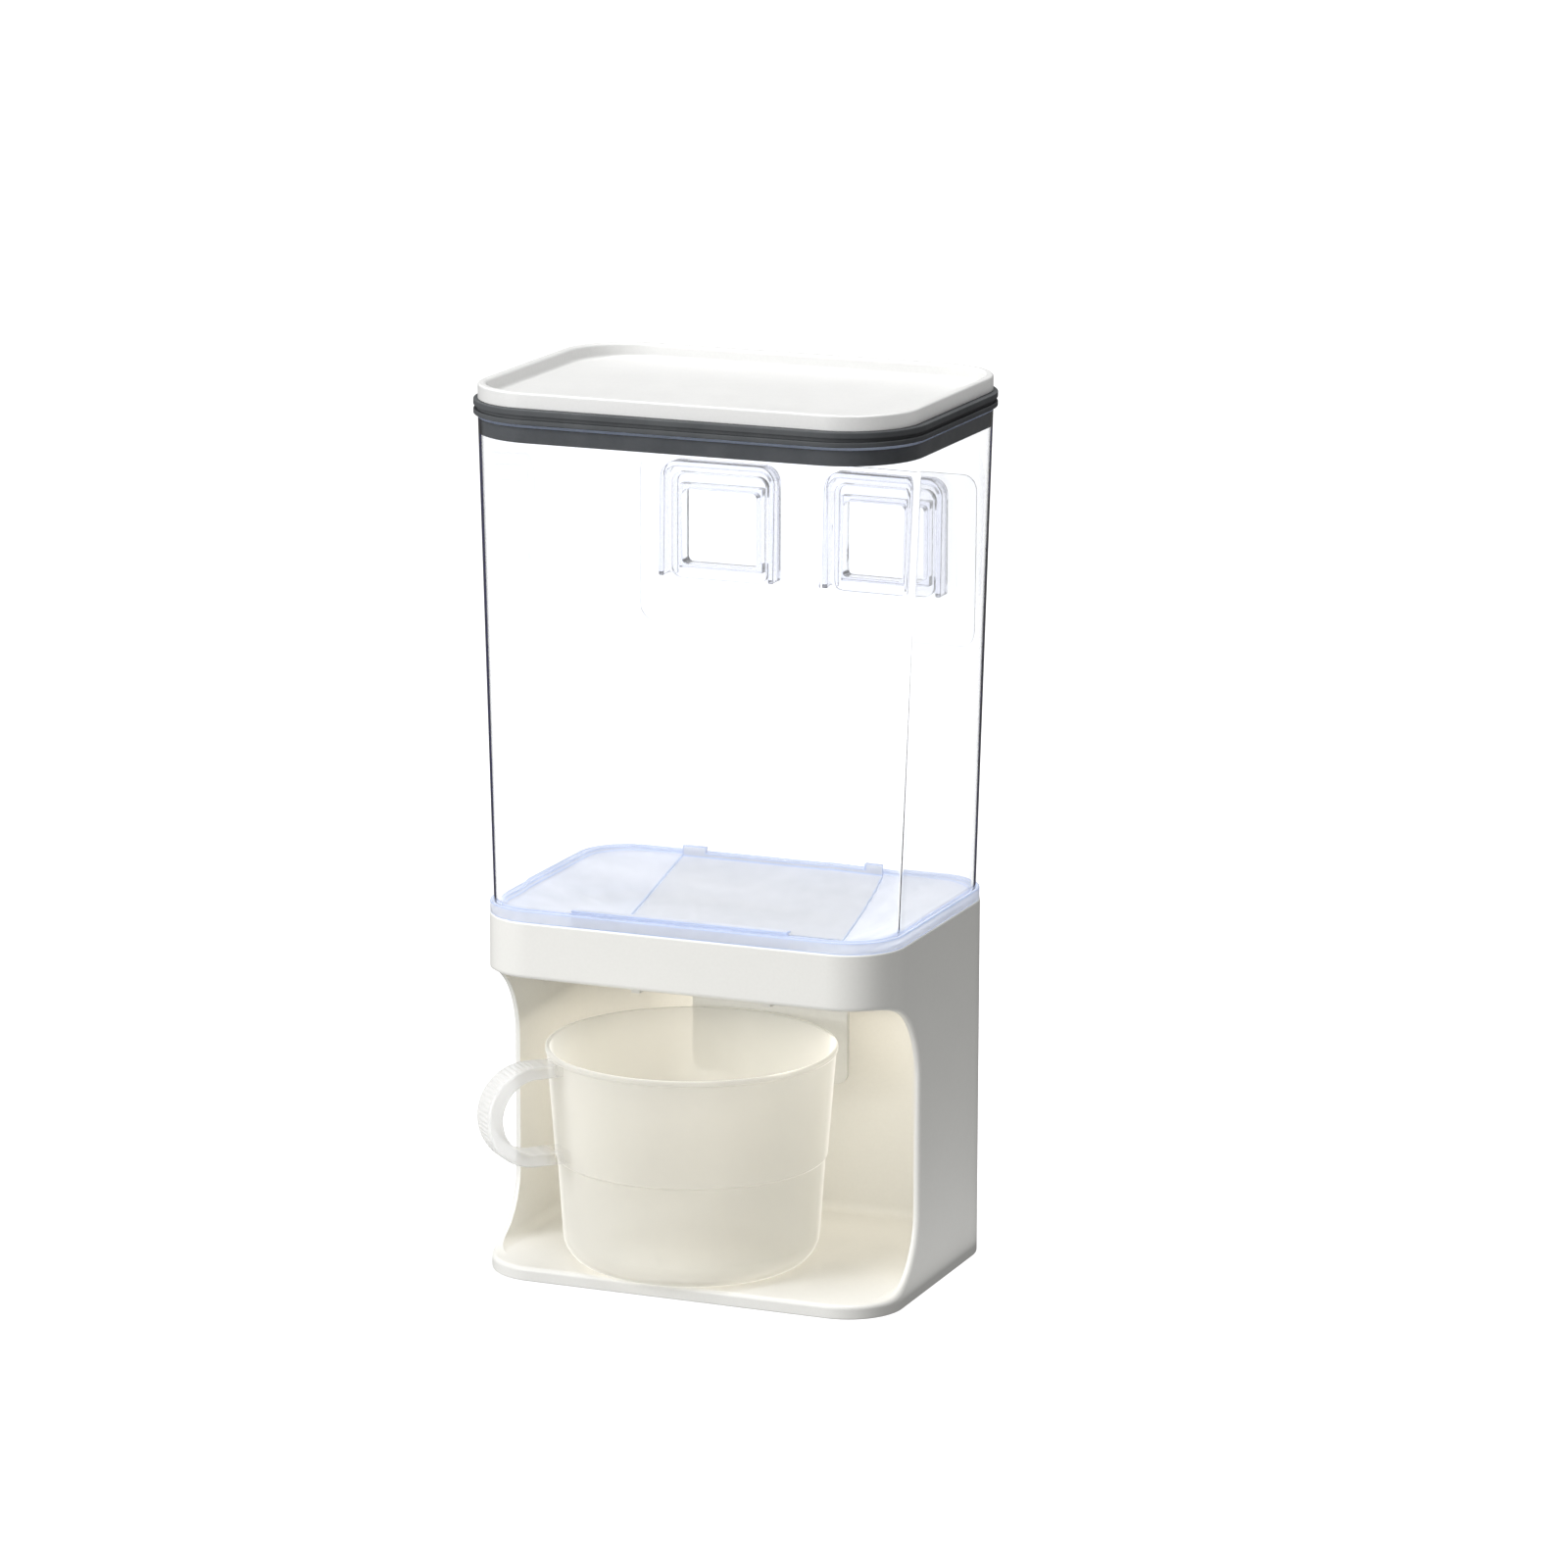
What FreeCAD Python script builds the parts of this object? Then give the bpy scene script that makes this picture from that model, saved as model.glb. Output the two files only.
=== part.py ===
import FreeCAD, Part
import math
import os

# Cereal dispenser with a clear container, a push-plate gate, a measuring cup and wall hooks.
# Millimetres. Origin: centre of the base's footprint on the table. X right, Y to the back, Z up.

# ---- driving dimensions ----
# base housing
BASE_W, BASE_D, BASE_R = 150.0, 107.0, 20.0
BASE_H = 126.0
WALL = 2.2
FLOOR_T = 5.0
FLOOR_SKIN = 2.4
BAND_Z = 106.5
SIDE_EDGE_Y = -18.5
TOP_SWEEP_R, LOW_SWEEP_R = 30.0, 25.0
LEDGE_T, LEDGE_W = 2.0, 3.0
FLOOR_FILLET = 3.5
OPENING_EDGE_R, RIM_EDGE_R = 1.5, 0.6
UNDER_RIB_T, UNDER_RIB_PITCH, UNDER_PAD_R = 1.6, 30.0, 9.0

# deck that closes the top of the cup's niche, and its two screws
DECK_T, DECK_GAP = 2.0, 0.4
DECK_Z = BAND_Z + LEDGE_T
SPOUT_GAP = 3.0
BOSS_X, BOSS_Y, BOSS_R = 64.0, 42.5, 4.5
BOSS_H, BOSS_TAPER_H = 10.0, 8.0
SCREW_R, SCREW_LENGTH, PILOT_R, SCREW_HOLE_R = 1.3, 9.0, 1.35, 1.6
SCREW_HEAD_R, SCREW_HEAD_H = 2.8, 1.8

# outlet of the hopper
OUTLET_HALF_X = 20.0
OUTLET_FRONT_Y, OUTLET_BACK_Y = -28.0, 0.0
SPOUT_WALL = 1.6
SPOUT_MOUTH_Z = 104.6

# push plate and gate
PIVOT_Y, PIVOT_Z = 35.0, 101.5
PIN_R, PIN_FIT, PIN_PRESS = 1.5, 0.05, 0.03
HUB_R = 3.7
LUG_X, LUG_T, LUG_R = 30.2, 3.2, 4.2
PIN_END_X = 35.6
CLIP_R, CLIP_T = 3.2, 0.6
PLATE_HALF_X, PLATE_FRONT_Y, PLATE_T = 29.0, 30.5, 2.0
PLATE_BOTTOM_Z = 57.0
PLATE_CORNER_R, PLATE_RIB_T = 4.0, 1.6
GATE_PAD_T, GATE_GAP, PAD_MARGIN = 1.9, 0.3, 2.4
GATE_HALF_X, GATE_MARGIN, GATE_T, ARM_T = 25.5, 3.0, 2.0, 3.0
SPRING_HALF_X = 7.0
SPRING_WIRE_R, SPRING_COIL_R, SPRING_PITCH, SPRING_TURNS = 0.35, 2.9, 1.6, 6
SPRING_LEG, SPRING_LEG_SLOPE = 14.0, 0.38

# hopper frame and its clear rim
RIM_W, RIM_D, RIM_R = 149.5, 106.3, 19.4
RIM_TOP = 130.2
GROOVE_DEPTH = 1.2
SKIRT_W, SKIRT_D, SKIRT_R = 143.4, 100.4, 16.6
SKIRT_WALL = 1.8
SKIRT_BOTTOM_Z = 114.0
FOLD_X = 39.5
FOLD_TOP_Z, FOLD_LOW_Z = 129.4, 117.2
SIDE_TOP_Z = 128.8
SHEET_T, FIT_SLACK = 1.6, 0.1
INSERT_SLACK, THROAT_H = 0.2, 1.0
FRONT_LIP_H, FRONT_LIP_OUT, FRONT_LIP_IN = 1.0, 1.1, 2.4
BACK_WALL_H, TAB_H, TAB_W = 0.4, 2.6, 9.0

# container
BOX_BOTTOM_W, BOX_BOTTOM_D, BOX_BOTTOM_R = 147.0, 104.0, 18.5
BOX_TOP_W, BOX_TOP_D, BOX_TOP_R = 157.8, 114.7, 27.0
BOX_TOP_Z = 297.0
BOX_WALL = 2.3

# lid
LID_W, LID_D, LID_R = 156.3, 113.2, 24.0
LID_BOTTOM_Z, LID_TOP_Z = 302.3, 307.65
TRAY_Z = 302.7
TRAY_RIM = 3.0
TRAY_FLOOR_T, TRAY_FILLET, LID_EDGE_R = 2.3, 1.2, 1.0
SEAL_OUT = 1.5
SEAL_LOW_Z = 290.6
SEAL_BAND_T, SEAL_TOP_GAP, SEAL_SIDE_GAP, SEAL_GROOVE = 2.2, 0.2, 0.3, 1.0
PLUG_GAP, PLUG_WALL = 0.25, 1.8
LINER_T, LINER_RISE, LINER_GAP = 1.8, 0.4, 0.1
PLUG_RISE = 0.6

# wall hooks and their sockets
HOOK_X = 30.0
SOCKET_W, SOCKET_TOP_Z, SOCKET_LOW_Z = 43.0, 267.0, 226.5
SOCKET_WALL, SOCKET_BACK_Y = 2.0, 62.2
LIP_W, LIP_T = 3.0, 1.6
SOCKET_CORNER_R, SOCKET_BORE_R, SOCKET_SLOT_R = 6.0, 4.0, 3.0
HOOK_W, HOOK_TOP_Z, HOOK_LOW_Z = 36.0, 263.0, 225.5
HOOK_WINDOW_W, HOOK_WINDOW_TOP_Z, HOOK_WINDOW_LOW_Z = 28.0, 257.0, 230.5
HOOK_FRONT_Y, HOOK_T = 58.0, 2.2
HOOK_CORNER_R, WINDOW_CORNER_R = 4.0, 2.0
STEM_WALL = 1.5
SHEET_W, SHEET_LOW_Z, SHEET_TOP_Z = 125.0, 208.0, 268.0
SHEET_FRONT_Y, WALL_SHEET_T, GLUE_T, SHEET_CORNER_R = 64.0, 0.7, 0.3, 6.0

# measuring cup
CUP_X, CUP_Y = -7.8, -20.3
CUP_RIM_Z = 80.8
CUP_RIM_R, CUP_STEP_R, CUP_FOOT_R = 49.9, 46.6, 43.4
CUP_STEP_Z, CUP_STEP, CUP_STEP_H = 42.0, 0.7, 0.8
CUP_EDGE_R = 10.0
CUP_WALL = 1.6
HANDLE_TURN = 46.0
HANDLE_REACH = 77.2
HANDLE_TOP_Z, HANDLE_LOW_Z = 79.9, 44.8
HANDLE_T, HANDLE_W = 4.4, 11.6
RIB_PITCH, RIB_T, RIB_H, RIB_BORDER = 2.2, 1.0, 0.5, 0.8


# ---- small helpers ----
def vec(x, y, z):
    return FreeCAD.Vector(x, y, z)


def block(x0, x1, y0, y1, z0, z1):
    return Part.makeBox(x1 - x0, y1 - y0, z1 - z0, vec(x0, y0, z0))


def rounded_wire(width, depth, radius, z):
    """Rectangle with round corners, centred on the Z axis at height z."""
    hx, hy, c = width / 2, depth / 2, radius * (1 - math.sqrt(0.5))
    corners = []
    for sx, sy in ((1, 1), (-1, 1), (-1, -1), (1, -1)):
        on_x = vec(sx * hx, sy * (hy - radius), z)
        middle = vec(sx * (hx - c), sy * (hy - c), z)
        on_y = vec(sx * (hx - radius), sy * hy, z)
        corners.append((on_x, middle, on_y) if sx == sy else (on_y, middle, on_x))
    edges = []
    for i, (start, middle, end) in enumerate(corners):
        edges.append(Part.Arc(start, middle, end).toShape())
        edges.append(Part.makeLine(end, corners[(i + 1) % 4][0]))
    return Part.Wire(edges)


def rounded_prism(width, depth, radius, z0, z1):
    return Part.Face(rounded_wire(width, depth, radius, z0)).extrude(vec(0, 0, z1 - z0))


def rounded_ring(width, depth, radius, wall, z0, z1):
    outer = rounded_prism(width, depth, radius, z0, z1)
    return outer.cut(rounded_prism(width - 2 * wall, depth - 2 * wall, radius - wall, z0, z1))


def side_profile(points, x0, x1):
    """Extrude an outline in the YZ plane along X from x0 to x1."""
    outline = [vec(x0, y, z) for y, z in points]
    return Part.Face(Part.makePolygon(outline + outline[:1])).extrude(vec(x1 - x0, 0, 0))


def rod(radius, x0, x1, y, z):
    return Part.makeCylinder(radius, x1 - x0, vec(x0, y, z), vec(1, 0, 0))


def rectangle_wire(hx, y0, y1, z):
    points = [vec(-hx, y0, z), vec(hx, y0, z), vec(hx, y1, z), vec(-hx, y1, z), vec(-hx, y0, z)]
    return Part.makePolygon(points)


def edges_where(shape, test):
    """Edges whose sampled points all pass the test."""
    found = []
    for edge in shape.Edges:
        if edge.Length > 0.01 and all(test(point) for point in edge.discretize(5)):
            found.append(edge)
    return found


def save(shape, name):
    solids = shape.Solids
    clean = solids[0] if len(solids) == 1 else Part.makeCompound(solids)
    assert clean.isValid(), name
    clean.exportStep("parts/%s.step" % name)
    print("%-22s solids %d  volume %8.1f mm3" % (name, len(solids), clean.Volume))


# ---- base housing ----
def niche_opening():
    """Space cut from the front: a straight edge in each side wall with a round sweep above and below."""
    front = -BASE_D
    low_y, top_y = SIDE_EDGE_Y - LOW_SWEEP_R, SIDE_EDGE_Y - TOP_SWEEP_R
    low_z, top_z = FLOOR_T + LOW_SWEEP_R, BAND_Z - TOP_SWEEP_R
    turn = math.sqrt(0.5)
    x = -BASE_W
    low_mid = vec(x, low_y + LOW_SWEEP_R * turn, low_z - LOW_SWEEP_R * turn)
    top_mid = vec(x, top_y + TOP_SWEEP_R * turn, top_z + TOP_SWEEP_R * turn)
    corners = [vec(x, front, BAND_Z), vec(x, front, FLOOR_T), vec(x, low_y, FLOOR_T)]
    low_end, top_start = vec(x, SIDE_EDGE_Y, low_z), vec(x, SIDE_EDGE_Y, top_z)
    top_end = vec(x, top_y, BAND_Z)
    edges = [Part.makeLine(corners[0], corners[1]), Part.makeLine(corners[1], corners[2])]
    edges.append(Part.Arc(corners[2], low_mid, low_end).toShape())
    edges.append(Part.makeLine(low_end, top_start))
    edges.append(Part.Arc(top_start, top_mid, top_end).toShape())
    edges.append(Part.makeLine(top_end, corners[0]))
    return Part.Face(Part.Wire(edges)).extrude(vec(2 * BASE_W, 0, 0))


def off_outline(point, inset):
    """How far a point lies outside the base's outline moved in by inset."""
    radius = BASE_R - inset
    across = abs(point.x) - (BASE_W / 2 - inset - radius)
    along = abs(point.y) - (BASE_D / 2 - inset - radius)
    if across > 0 and along > 0:
        return math.hypot(across, along) - radius
    return max(across, along) - radius


def round_base_edges(shell):
    """Round the base's foot and rim, and the outer edge of the niche's opening."""
    def on(point, inset):
        return abs(off_outline(point, inset)) < 0.02
    rims = edges_where(shell, lambda p: p.z > BASE_H - 0.01 and (on(p, 0) or on(p, WALL)))
    foot = edges_where(shell, lambda p: p.z < 0.01 and on(p, 0))
    shell = shell.makeFillet(RIM_EDGE_R, rims + foot)
    opening = edges_where(shell, lambda p: on(p, 0) and FLOOR_T - 0.1 < p.z < BAND_Z + 0.1)
    return shell.makeFillet(OPENING_EDGE_R, [edge for edge in opening if not upright(edge)])


def upright(edge):
    """True for a seam that runs up the whole wall."""
    ends = [vertex.Point for vertex in edge.Vertexes]
    return abs(ends[0].z - ends[-1].z) > BAND_Z - FLOOR_T - 2 * OPENING_EDGE_R


def base_housing():
    outer = rounded_prism(BASE_W, BASE_D, BASE_R, 0, BASE_H)
    inside_w, inside_d, inside_r = BASE_W - 2 * WALL, BASE_D - 2 * WALL, BASE_R - WALL
    inside = rounded_prism(inside_w, inside_d, inside_r, FLOOR_T, BASE_H + 1)
    floor_edge = edges_where(inside, lambda p: abs(p.z - FLOOR_T) < 0.01)
    inside = inside.makeFillet(FLOOR_FILLET, floor_edge)
    shell = outer.cut(inside)
    ledge = rounded_ring(inside_w, inside_d, inside_r, LEDGE_W, BAND_Z, DECK_Z)
    shell = shell.fuse(ledge).fuse(screw_bosses()).cut(niche_opening())
    shell = round_base_edges(shell)
    return shell.cut(screw_holes(PILOT_R, DECK_Z - SCREW_LENGTH, DECK_Z + 1)).cut(underside_pockets())


def screw_bosses():
    """Two posts in the back corners that carry the deck, with a taper under each."""
    limit = rounded_prism(BASE_W - WALL, BASE_D - WALL, BASE_R - WALL / 2, 0, BASE_H)
    posts = []
    for side in (-1, 1):
        foot = vec(side * BOSS_X, BOSS_Y, DECK_Z - BOSS_H - BOSS_TAPER_H)
        taper = Part.makeCone(0.5, BOSS_R, BOSS_TAPER_H, foot)
        post = Part.makeCylinder(BOSS_R, BOSS_H, foot + vec(0, 0, BOSS_TAPER_H))
        web_x = side * (BOSS_X + BOSS_R - WALL / 2)
        web = block(web_x - BOSS_R, web_x + BOSS_R, BOSS_Y, BOSS_Y + 2 * BOSS_R, DECK_Z - BOSS_H, DECK_Z)
        posts.append(taper.fuse(post).fuse(web).common(limit))
    return posts[0].fuse(posts[1])


def screw_holes(radius, z0, z1):
    holes = [Part.makeCylinder(radius, z1 - z0, vec(s * BOSS_X, BOSS_Y, z0)) for s in (-1, 1)]
    return holes[0].fuse(holes[1])


def underside_pockets():
    """Hollows under the floor between a rim, crossed ribs and a round middle pad."""
    depth = FLOOR_T - FLOOR_SKIN
    hollow = rounded_prism(BASE_W - 2 * WALL, BASE_D - 2 * WALL, BASE_R - WALL, 0, depth)
    half = UNDER_RIB_T / 2
    for step in (-1.5, -0.5, 0.5, 1.5):
        x = step * UNDER_RIB_PITCH
        hollow = hollow.cut(block(x - half, x + half, -BASE_D, BASE_D, 0, depth))
    hollow = hollow.cut(block(-BASE_W, BASE_W, -half, half, 0, depth))
    return hollow.cut(Part.makeCylinder(UNDER_PAD_R, depth))


# ---- deck, pin and fasteners, fixed in the base ----
def inner_deck():
    slack = 2 * (WALL + DECK_GAP)
    plate = rounded_prism(BASE_W - slack, BASE_D - slack, BASE_R - slack / 2, DECK_Z, DECK_Z + DECK_T)
    front, back = OUTLET_FRONT_Y - SPOUT_WALL, OUTLET_BACK_Y + SPOUT_WALL
    hx = OUTLET_HALF_X + SPOUT_WALL + SPOUT_GAP
    plate = plate.cut(block(-hx, hx, front - SPOUT_GAP, back + SPOUT_GAP, DECK_Z - 1, DECK_Z + DECK_T + 1))
    for x0 in (-LUG_X - LUG_T, LUG_X):
        ear = rod(LUG_R, x0, x0 + LUG_T, PIVOT_Y, PIVOT_Z)
        web = block(x0, x0 + LUG_T, PIVOT_Y - LUG_R, PIVOT_Y + LUG_R, PIVOT_Z, DECK_Z)
        plate = plate.fuse(ear.fuse(web))
    plate = plate.cut(rod(PIN_R + PIN_PRESS, -BASE_W, BASE_W, PIVOT_Y, PIVOT_Z))
    return plate.cut(screw_holes(SCREW_HOLE_R, DECK_Z - 1, DECK_Z + DECK_T + 1))


def deck_screws():
    screws = []
    for side in (-1, 1):
        top = vec(side * BOSS_X, BOSS_Y, DECK_Z + DECK_T)
        head = Part.makeCylinder(SCREW_HEAD_R, SCREW_HEAD_H, top)
        crown = edges_where(head, lambda p: p.z > top.z + SCREW_HEAD_H - 0.1)
        head = head.makeFillet(SCREW_HEAD_H * 0.4, crown)
        head = head.cut(cross_recess(top + vec(0, 0, SCREW_HEAD_H * 0.45)))
        shank = Part.makeCylinder(SCREW_R, SCREW_LENGTH, top - vec(0, 0, SCREW_LENGTH))
        tip = Part.makeCone(SCREW_R / 3, SCREW_R, SCREW_R, top - vec(0, 0, SCREW_LENGTH + SCREW_R))
        screws.append(head.fuse(shank).fuse(tip))
    return Part.makeCompound(screws)


def cross_recess(at):
    reach, half = SCREW_HEAD_R / 2, 0.3
    one = block(-reach, reach, -half, half, 0, SCREW_HEAD_H)
    other = block(-half, half, -reach, reach, 0, SCREW_HEAD_H)
    recess = one.fuse(other)
    recess.translate(at)
    return recess


def lever_pin():
    pin = rod(PIN_R, -PIN_END_X, PIN_END_X, PIVOT_Y, PIVOT_Z)
    return pin.makeChamfer(0.3, edges_where(pin, lambda p: abs(p.x) > PIN_END_X - 0.01))


def pin_clips():
    clips = []
    for side in (-1, 1):
        x0 = side * (LUG_X + LUG_T + CLIP_T) - CLIP_T / 2
        clip = rod(CLIP_R, x0, x0 + CLIP_T, PIVOT_Y, PIVOT_Z)
        clip = clip.cut(rod(PIN_R + PIN_PRESS, x0 - 1, x0 + 2, PIVOT_Y, PIVOT_Z))
        slot = block(x0 - 1, x0 + 2, PIVOT_Y - 1.0, PIVOT_Y + 1.0, PIVOT_Z - 2 * CLIP_R, PIVOT_Z)
        clips.append(clip.cut(slot))
    return Part.makeCompound(clips)


def return_spring():
    """Torsion spring on the pin: one leg rests on the deck, the other on the push plate's back."""
    wire_r, coil_r = SPRING_WIRE_R, SPRING_COIL_R
    length = SPRING_PITCH * SPRING_TURNS
    helix = Part.makeHelix(SPRING_PITCH, length, coil_r)
    heading = vec(0, coil_r, SPRING_PITCH / (2 * math.pi))
    section = Part.Wire(Part.makeCircle(wire_r, vec(coil_r, 0, 0), heading))
    coil = Part.Wire(helix).makePipeShell([section], True, True)
    coil.rotate(vec(0, 0, 0), vec(0, 1, 0), 90)
    coil.rotate(vec(0, 0, 0), vec(1, 0, 0), 90)
    coil.translate(vec(-length / 2, PIVOT_Y, PIVOT_Z))
    leg_y = PIVOT_Y + coil_r
    up_leg = Part.makeCylinder(wire_r, DECK_Z - PIVOT_Z, vec(length / 2, leg_y, PIVOT_Z))
    low_start = vec(-length / 2, leg_y, PIVOT_Z)
    down_leg = Part.makeCylinder(wire_r, SPRING_LEG, low_start, vec(0, -SPRING_LEG_SLOPE, -1))
    return coil.fuse(up_leg).fuse(down_leg)


# ---- push plate with its gate ----
def push_lever():
    pad_top = SPOUT_MOUTH_Z - GATE_GAP
    gate_top = pad_top - GATE_PAD_T
    plate_back = PLATE_FRONT_Y + PLATE_T
    plate = block(-PLATE_HALF_X, PLATE_HALF_X, PLATE_FRONT_Y, plate_back, PLATE_BOTTOM_Z, PIVOT_Z)
    low_corners = [e for e in plate.Edges if along_y(e) and e.Vertexes[0].Point.z < PLATE_BOTTOM_Z + 1]
    body = plate.makeFillet(PLATE_CORNER_R, low_corners)
    y0, rib_x = plate_back, PLATE_HALF_X - PLATE_RIB_T
    for x in (-rib_x, 0, rib_x):
        rib = side_profile([(y0, PLATE_BOTTOM_Z + 5), (y0 + 1.5, PLATE_BOTTOM_Z + 7),
                            (y0 + 2.8, PIVOT_Z), (y0, PIVOT_Z)], x - PLATE_RIB_T / 2, x + PLATE_RIB_T / 2)
        body = body.fuse(rib)
    for x0, x1 in ((-PLATE_HALF_X, -SPRING_HALF_X), (SPRING_HALF_X, PLATE_HALF_X)):
        body = body.fuse(rod(HUB_R, x0, x1, PIVOT_Y, PIVOT_Z))
    gate_front, gate_back = OUTLET_FRONT_Y - GATE_MARGIN, OUTLET_BACK_Y + GATE_MARGIN
    gate = block(-GATE_HALF_X, GATE_HALF_X, gate_front, gate_back, gate_top - GATE_T, gate_top)
    body = body.fuse(gate)
    for x in (-GATE_HALF_X, GATE_HALF_X - ARM_T):
        arm = side_profile([(gate_front, gate_top - GATE_T), (gate_front, gate_top - GATE_T - 1),
                            (OUTLET_BACK_Y, gate_top - GATE_T - 3), (PIVOT_Y, PIVOT_Z - 3.4),
                            (PIVOT_Y, PIVOT_Z + 1.5), (gate_back, gate_top)], x, x + ARM_T)
        body = body.fuse(arm)
    spring_room = rod(HUB_R + 0.6, -SPRING_HALF_X, SPRING_HALF_X, PIVOT_Y, PIVOT_Z)
    bore = rod(PIN_R + PIN_FIT, -BASE_W, BASE_W, PIVOT_Y, PIVOT_Z)
    return body.cut(spring_room).cut(bore).removeSplitter()


def gate_pad():
    pad_top = SPOUT_MOUTH_Z - GATE_GAP
    hx = OUTLET_HALF_X + PAD_MARGIN
    pad = block(-hx, hx, OUTLET_FRONT_Y - PAD_MARGIN, OUTLET_BACK_Y + PAD_MARGIN,
                pad_top - GATE_PAD_T, pad_top)
    upright = [e for e in pad.Edges if abs(e.Vertexes[0].Point.z - e.Vertexes[-1].Point.z) > 1]
    return pad.makeFillet(2.0, upright)


# ---- hopper ----
def hopper_frame():
    ring = rounded_prism(RIM_W, RIM_D, RIM_R, BASE_H, RIM_TOP)
    skirt = rounded_prism(SKIRT_W, SKIRT_D, SKIRT_R, SKIRT_BOTTOM_Z, BASE_H)
    inside_w, inside_d = SKIRT_W - 2 * SKIRT_WALL, SKIRT_D - 2 * SKIRT_WALL
    inside_r = SKIRT_R - SKIRT_WALL
    inside = rounded_prism(inside_w, inside_d, inside_r, SKIRT_BOTTOM_Z, RIM_TOP)
    frame = ring.fuse(skirt).cut(inside)
    slack = 2 * FIT_SLACK
    groove = rounded_ring(BOX_BOTTOM_W + slack, BOX_BOTTOM_D + slack, BOX_BOTTOM_R + FIT_SLACK,
                          BOX_WALL + slack, RIM_TOP - GROOVE_DEPTH, RIM_TOP + 1)
    frame = frame.cut(groove)
    root = SKIRT_WALL / 4
    limit = rounded_prism(inside_w + 2 * root, inside_d + 2 * root, inside_r + root, SKIRT_BOTTOM_Z, RIM_TOP)
    for side in (-1, 1):
        frame = frame.fuse(side_slope(side, inside_w / 2 + root, inside_d / 2 + root).common(limit))
    return frame.removeSplitter()


def side_slope(side, outer_x, half_d):
    """Twisted panel from the rim down to the fold line, level in front of the outlet's back edge."""
    def section(y, fold_z):
        points = [(FOLD_X, fold_z), (outer_x, SIDE_TOP_Z), (outer_x, SIDE_TOP_Z - SHEET_T),
                  (FOLD_X, fold_z - SHEET_T)]
        return Part.makePolygon([vec(side * x, y, z) for x, z in points + points[:1]])
    front = Part.makeLoft([section(-half_d, FOLD_LOW_Z), section(OUTLET_BACK_Y, FOLD_LOW_Z)], True, True)
    back = Part.makeLoft([section(OUTLET_BACK_Y, FOLD_LOW_Z), section(half_d, FOLD_TOP_Z)], True, True)
    return front.fuse(back)


def sluice_insert():
    """Middle channel between the fold lines: it runs down to the front and into the spout."""
    hx, half_d = FOLD_X - INSERT_SLACK, SKIRT_D / 2 - SKIRT_WALL - INSERT_SLACK
    t = SHEET_T
    back_floor = side_profile([(half_d, FOLD_TOP_Z), (OUTLET_BACK_Y, FOLD_LOW_Z),
                               (OUTLET_BACK_Y, FOLD_LOW_Z - t), (half_d, FOLD_TOP_Z - t)], -hx, hx)
    throat_z = DECK_Z + DECK_T + THROAT_H
    outer = Part.makeLoft([rectangle_wire(hx, -half_d, OUTLET_BACK_Y + t, FOLD_LOW_Z),
                           rectangle_wire(OUTLET_HALF_X + t, OUTLET_FRONT_Y - t, OUTLET_BACK_Y + t,
                                          throat_z - t)], True, True)
    inner = Part.makeLoft([rectangle_wire(hx - 1, -half_d + t, OUTLET_BACK_Y, FOLD_LOW_Z),
                           rectangle_wire(OUTLET_HALF_X, OUTLET_FRONT_Y, OUTLET_BACK_Y, throat_z)],
                          True, True)
    spout_out = block(-OUTLET_HALF_X - t, OUTLET_HALF_X + t, OUTLET_FRONT_Y - t, OUTLET_BACK_Y + t,
                      SPOUT_MOUTH_Z, throat_z - t)
    spout_in = block(-OUTLET_HALF_X, OUTLET_HALF_X, OUTLET_FRONT_Y, OUTLET_BACK_Y,
                     SPOUT_MOUTH_Z - 1, throat_z)
    front_wall = block(-hx, hx, -half_d, -half_d + t, FOLD_LOW_Z, RIM_TOP)
    insert = outer.fuse(spout_out).fuse(back_floor).fuse(front_wall)
    insert = insert.cut(inner.fuse(spout_in))
    lip = block(-hx, hx, -half_d - FRONT_LIP_OUT, -half_d + FRONT_LIP_IN, RIM_TOP, RIM_TOP + FRONT_LIP_H)
    back_wall = block(-hx, hx, half_d - t, half_d, FOLD_TOP_Z - t, RIM_TOP + BACK_WALL_H)
    insert = insert.fuse(lip).fuse(back_wall)
    for x0 in (-hx, hx - TAB_W):
        tab = block(x0, x0 + TAB_W, half_d - t, half_d, FOLD_TOP_Z - t, RIM_TOP + TAB_H)
        insert = insert.fuse(tab)
    return insert.removeSplitter()


# ---- container with its hook sockets ----
def container_size(z):
    """Outer width, depth and corner radius of the drafted container at height z."""
    share = (z - RIM_TOP) / (BOX_TOP_Z - RIM_TOP)
    width = BOX_BOTTOM_W + share * (BOX_TOP_W - BOX_BOTTOM_W)
    depth = BOX_BOTTOM_D + share * (BOX_TOP_D - BOX_BOTTOM_D)
    return width, depth, BOX_BOTTOM_R + share * (BOX_TOP_R - BOX_BOTTOM_R)


def container_solid(inset, z0, z1):
    wires = []
    for z in (z0, z1):
        width, depth, radius = container_size(z)
        wires.append(rounded_wire(width - 2 * inset, depth - 2 * inset, radius - inset, z))
    return Part.makeLoft(wires, True, True)


def container_body():
    bottom = RIM_TOP - GROOVE_DEPTH
    return container_solid(0, bottom, BOX_TOP_Z).cut(container_solid(BOX_WALL, bottom, BOX_TOP_Z))


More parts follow.
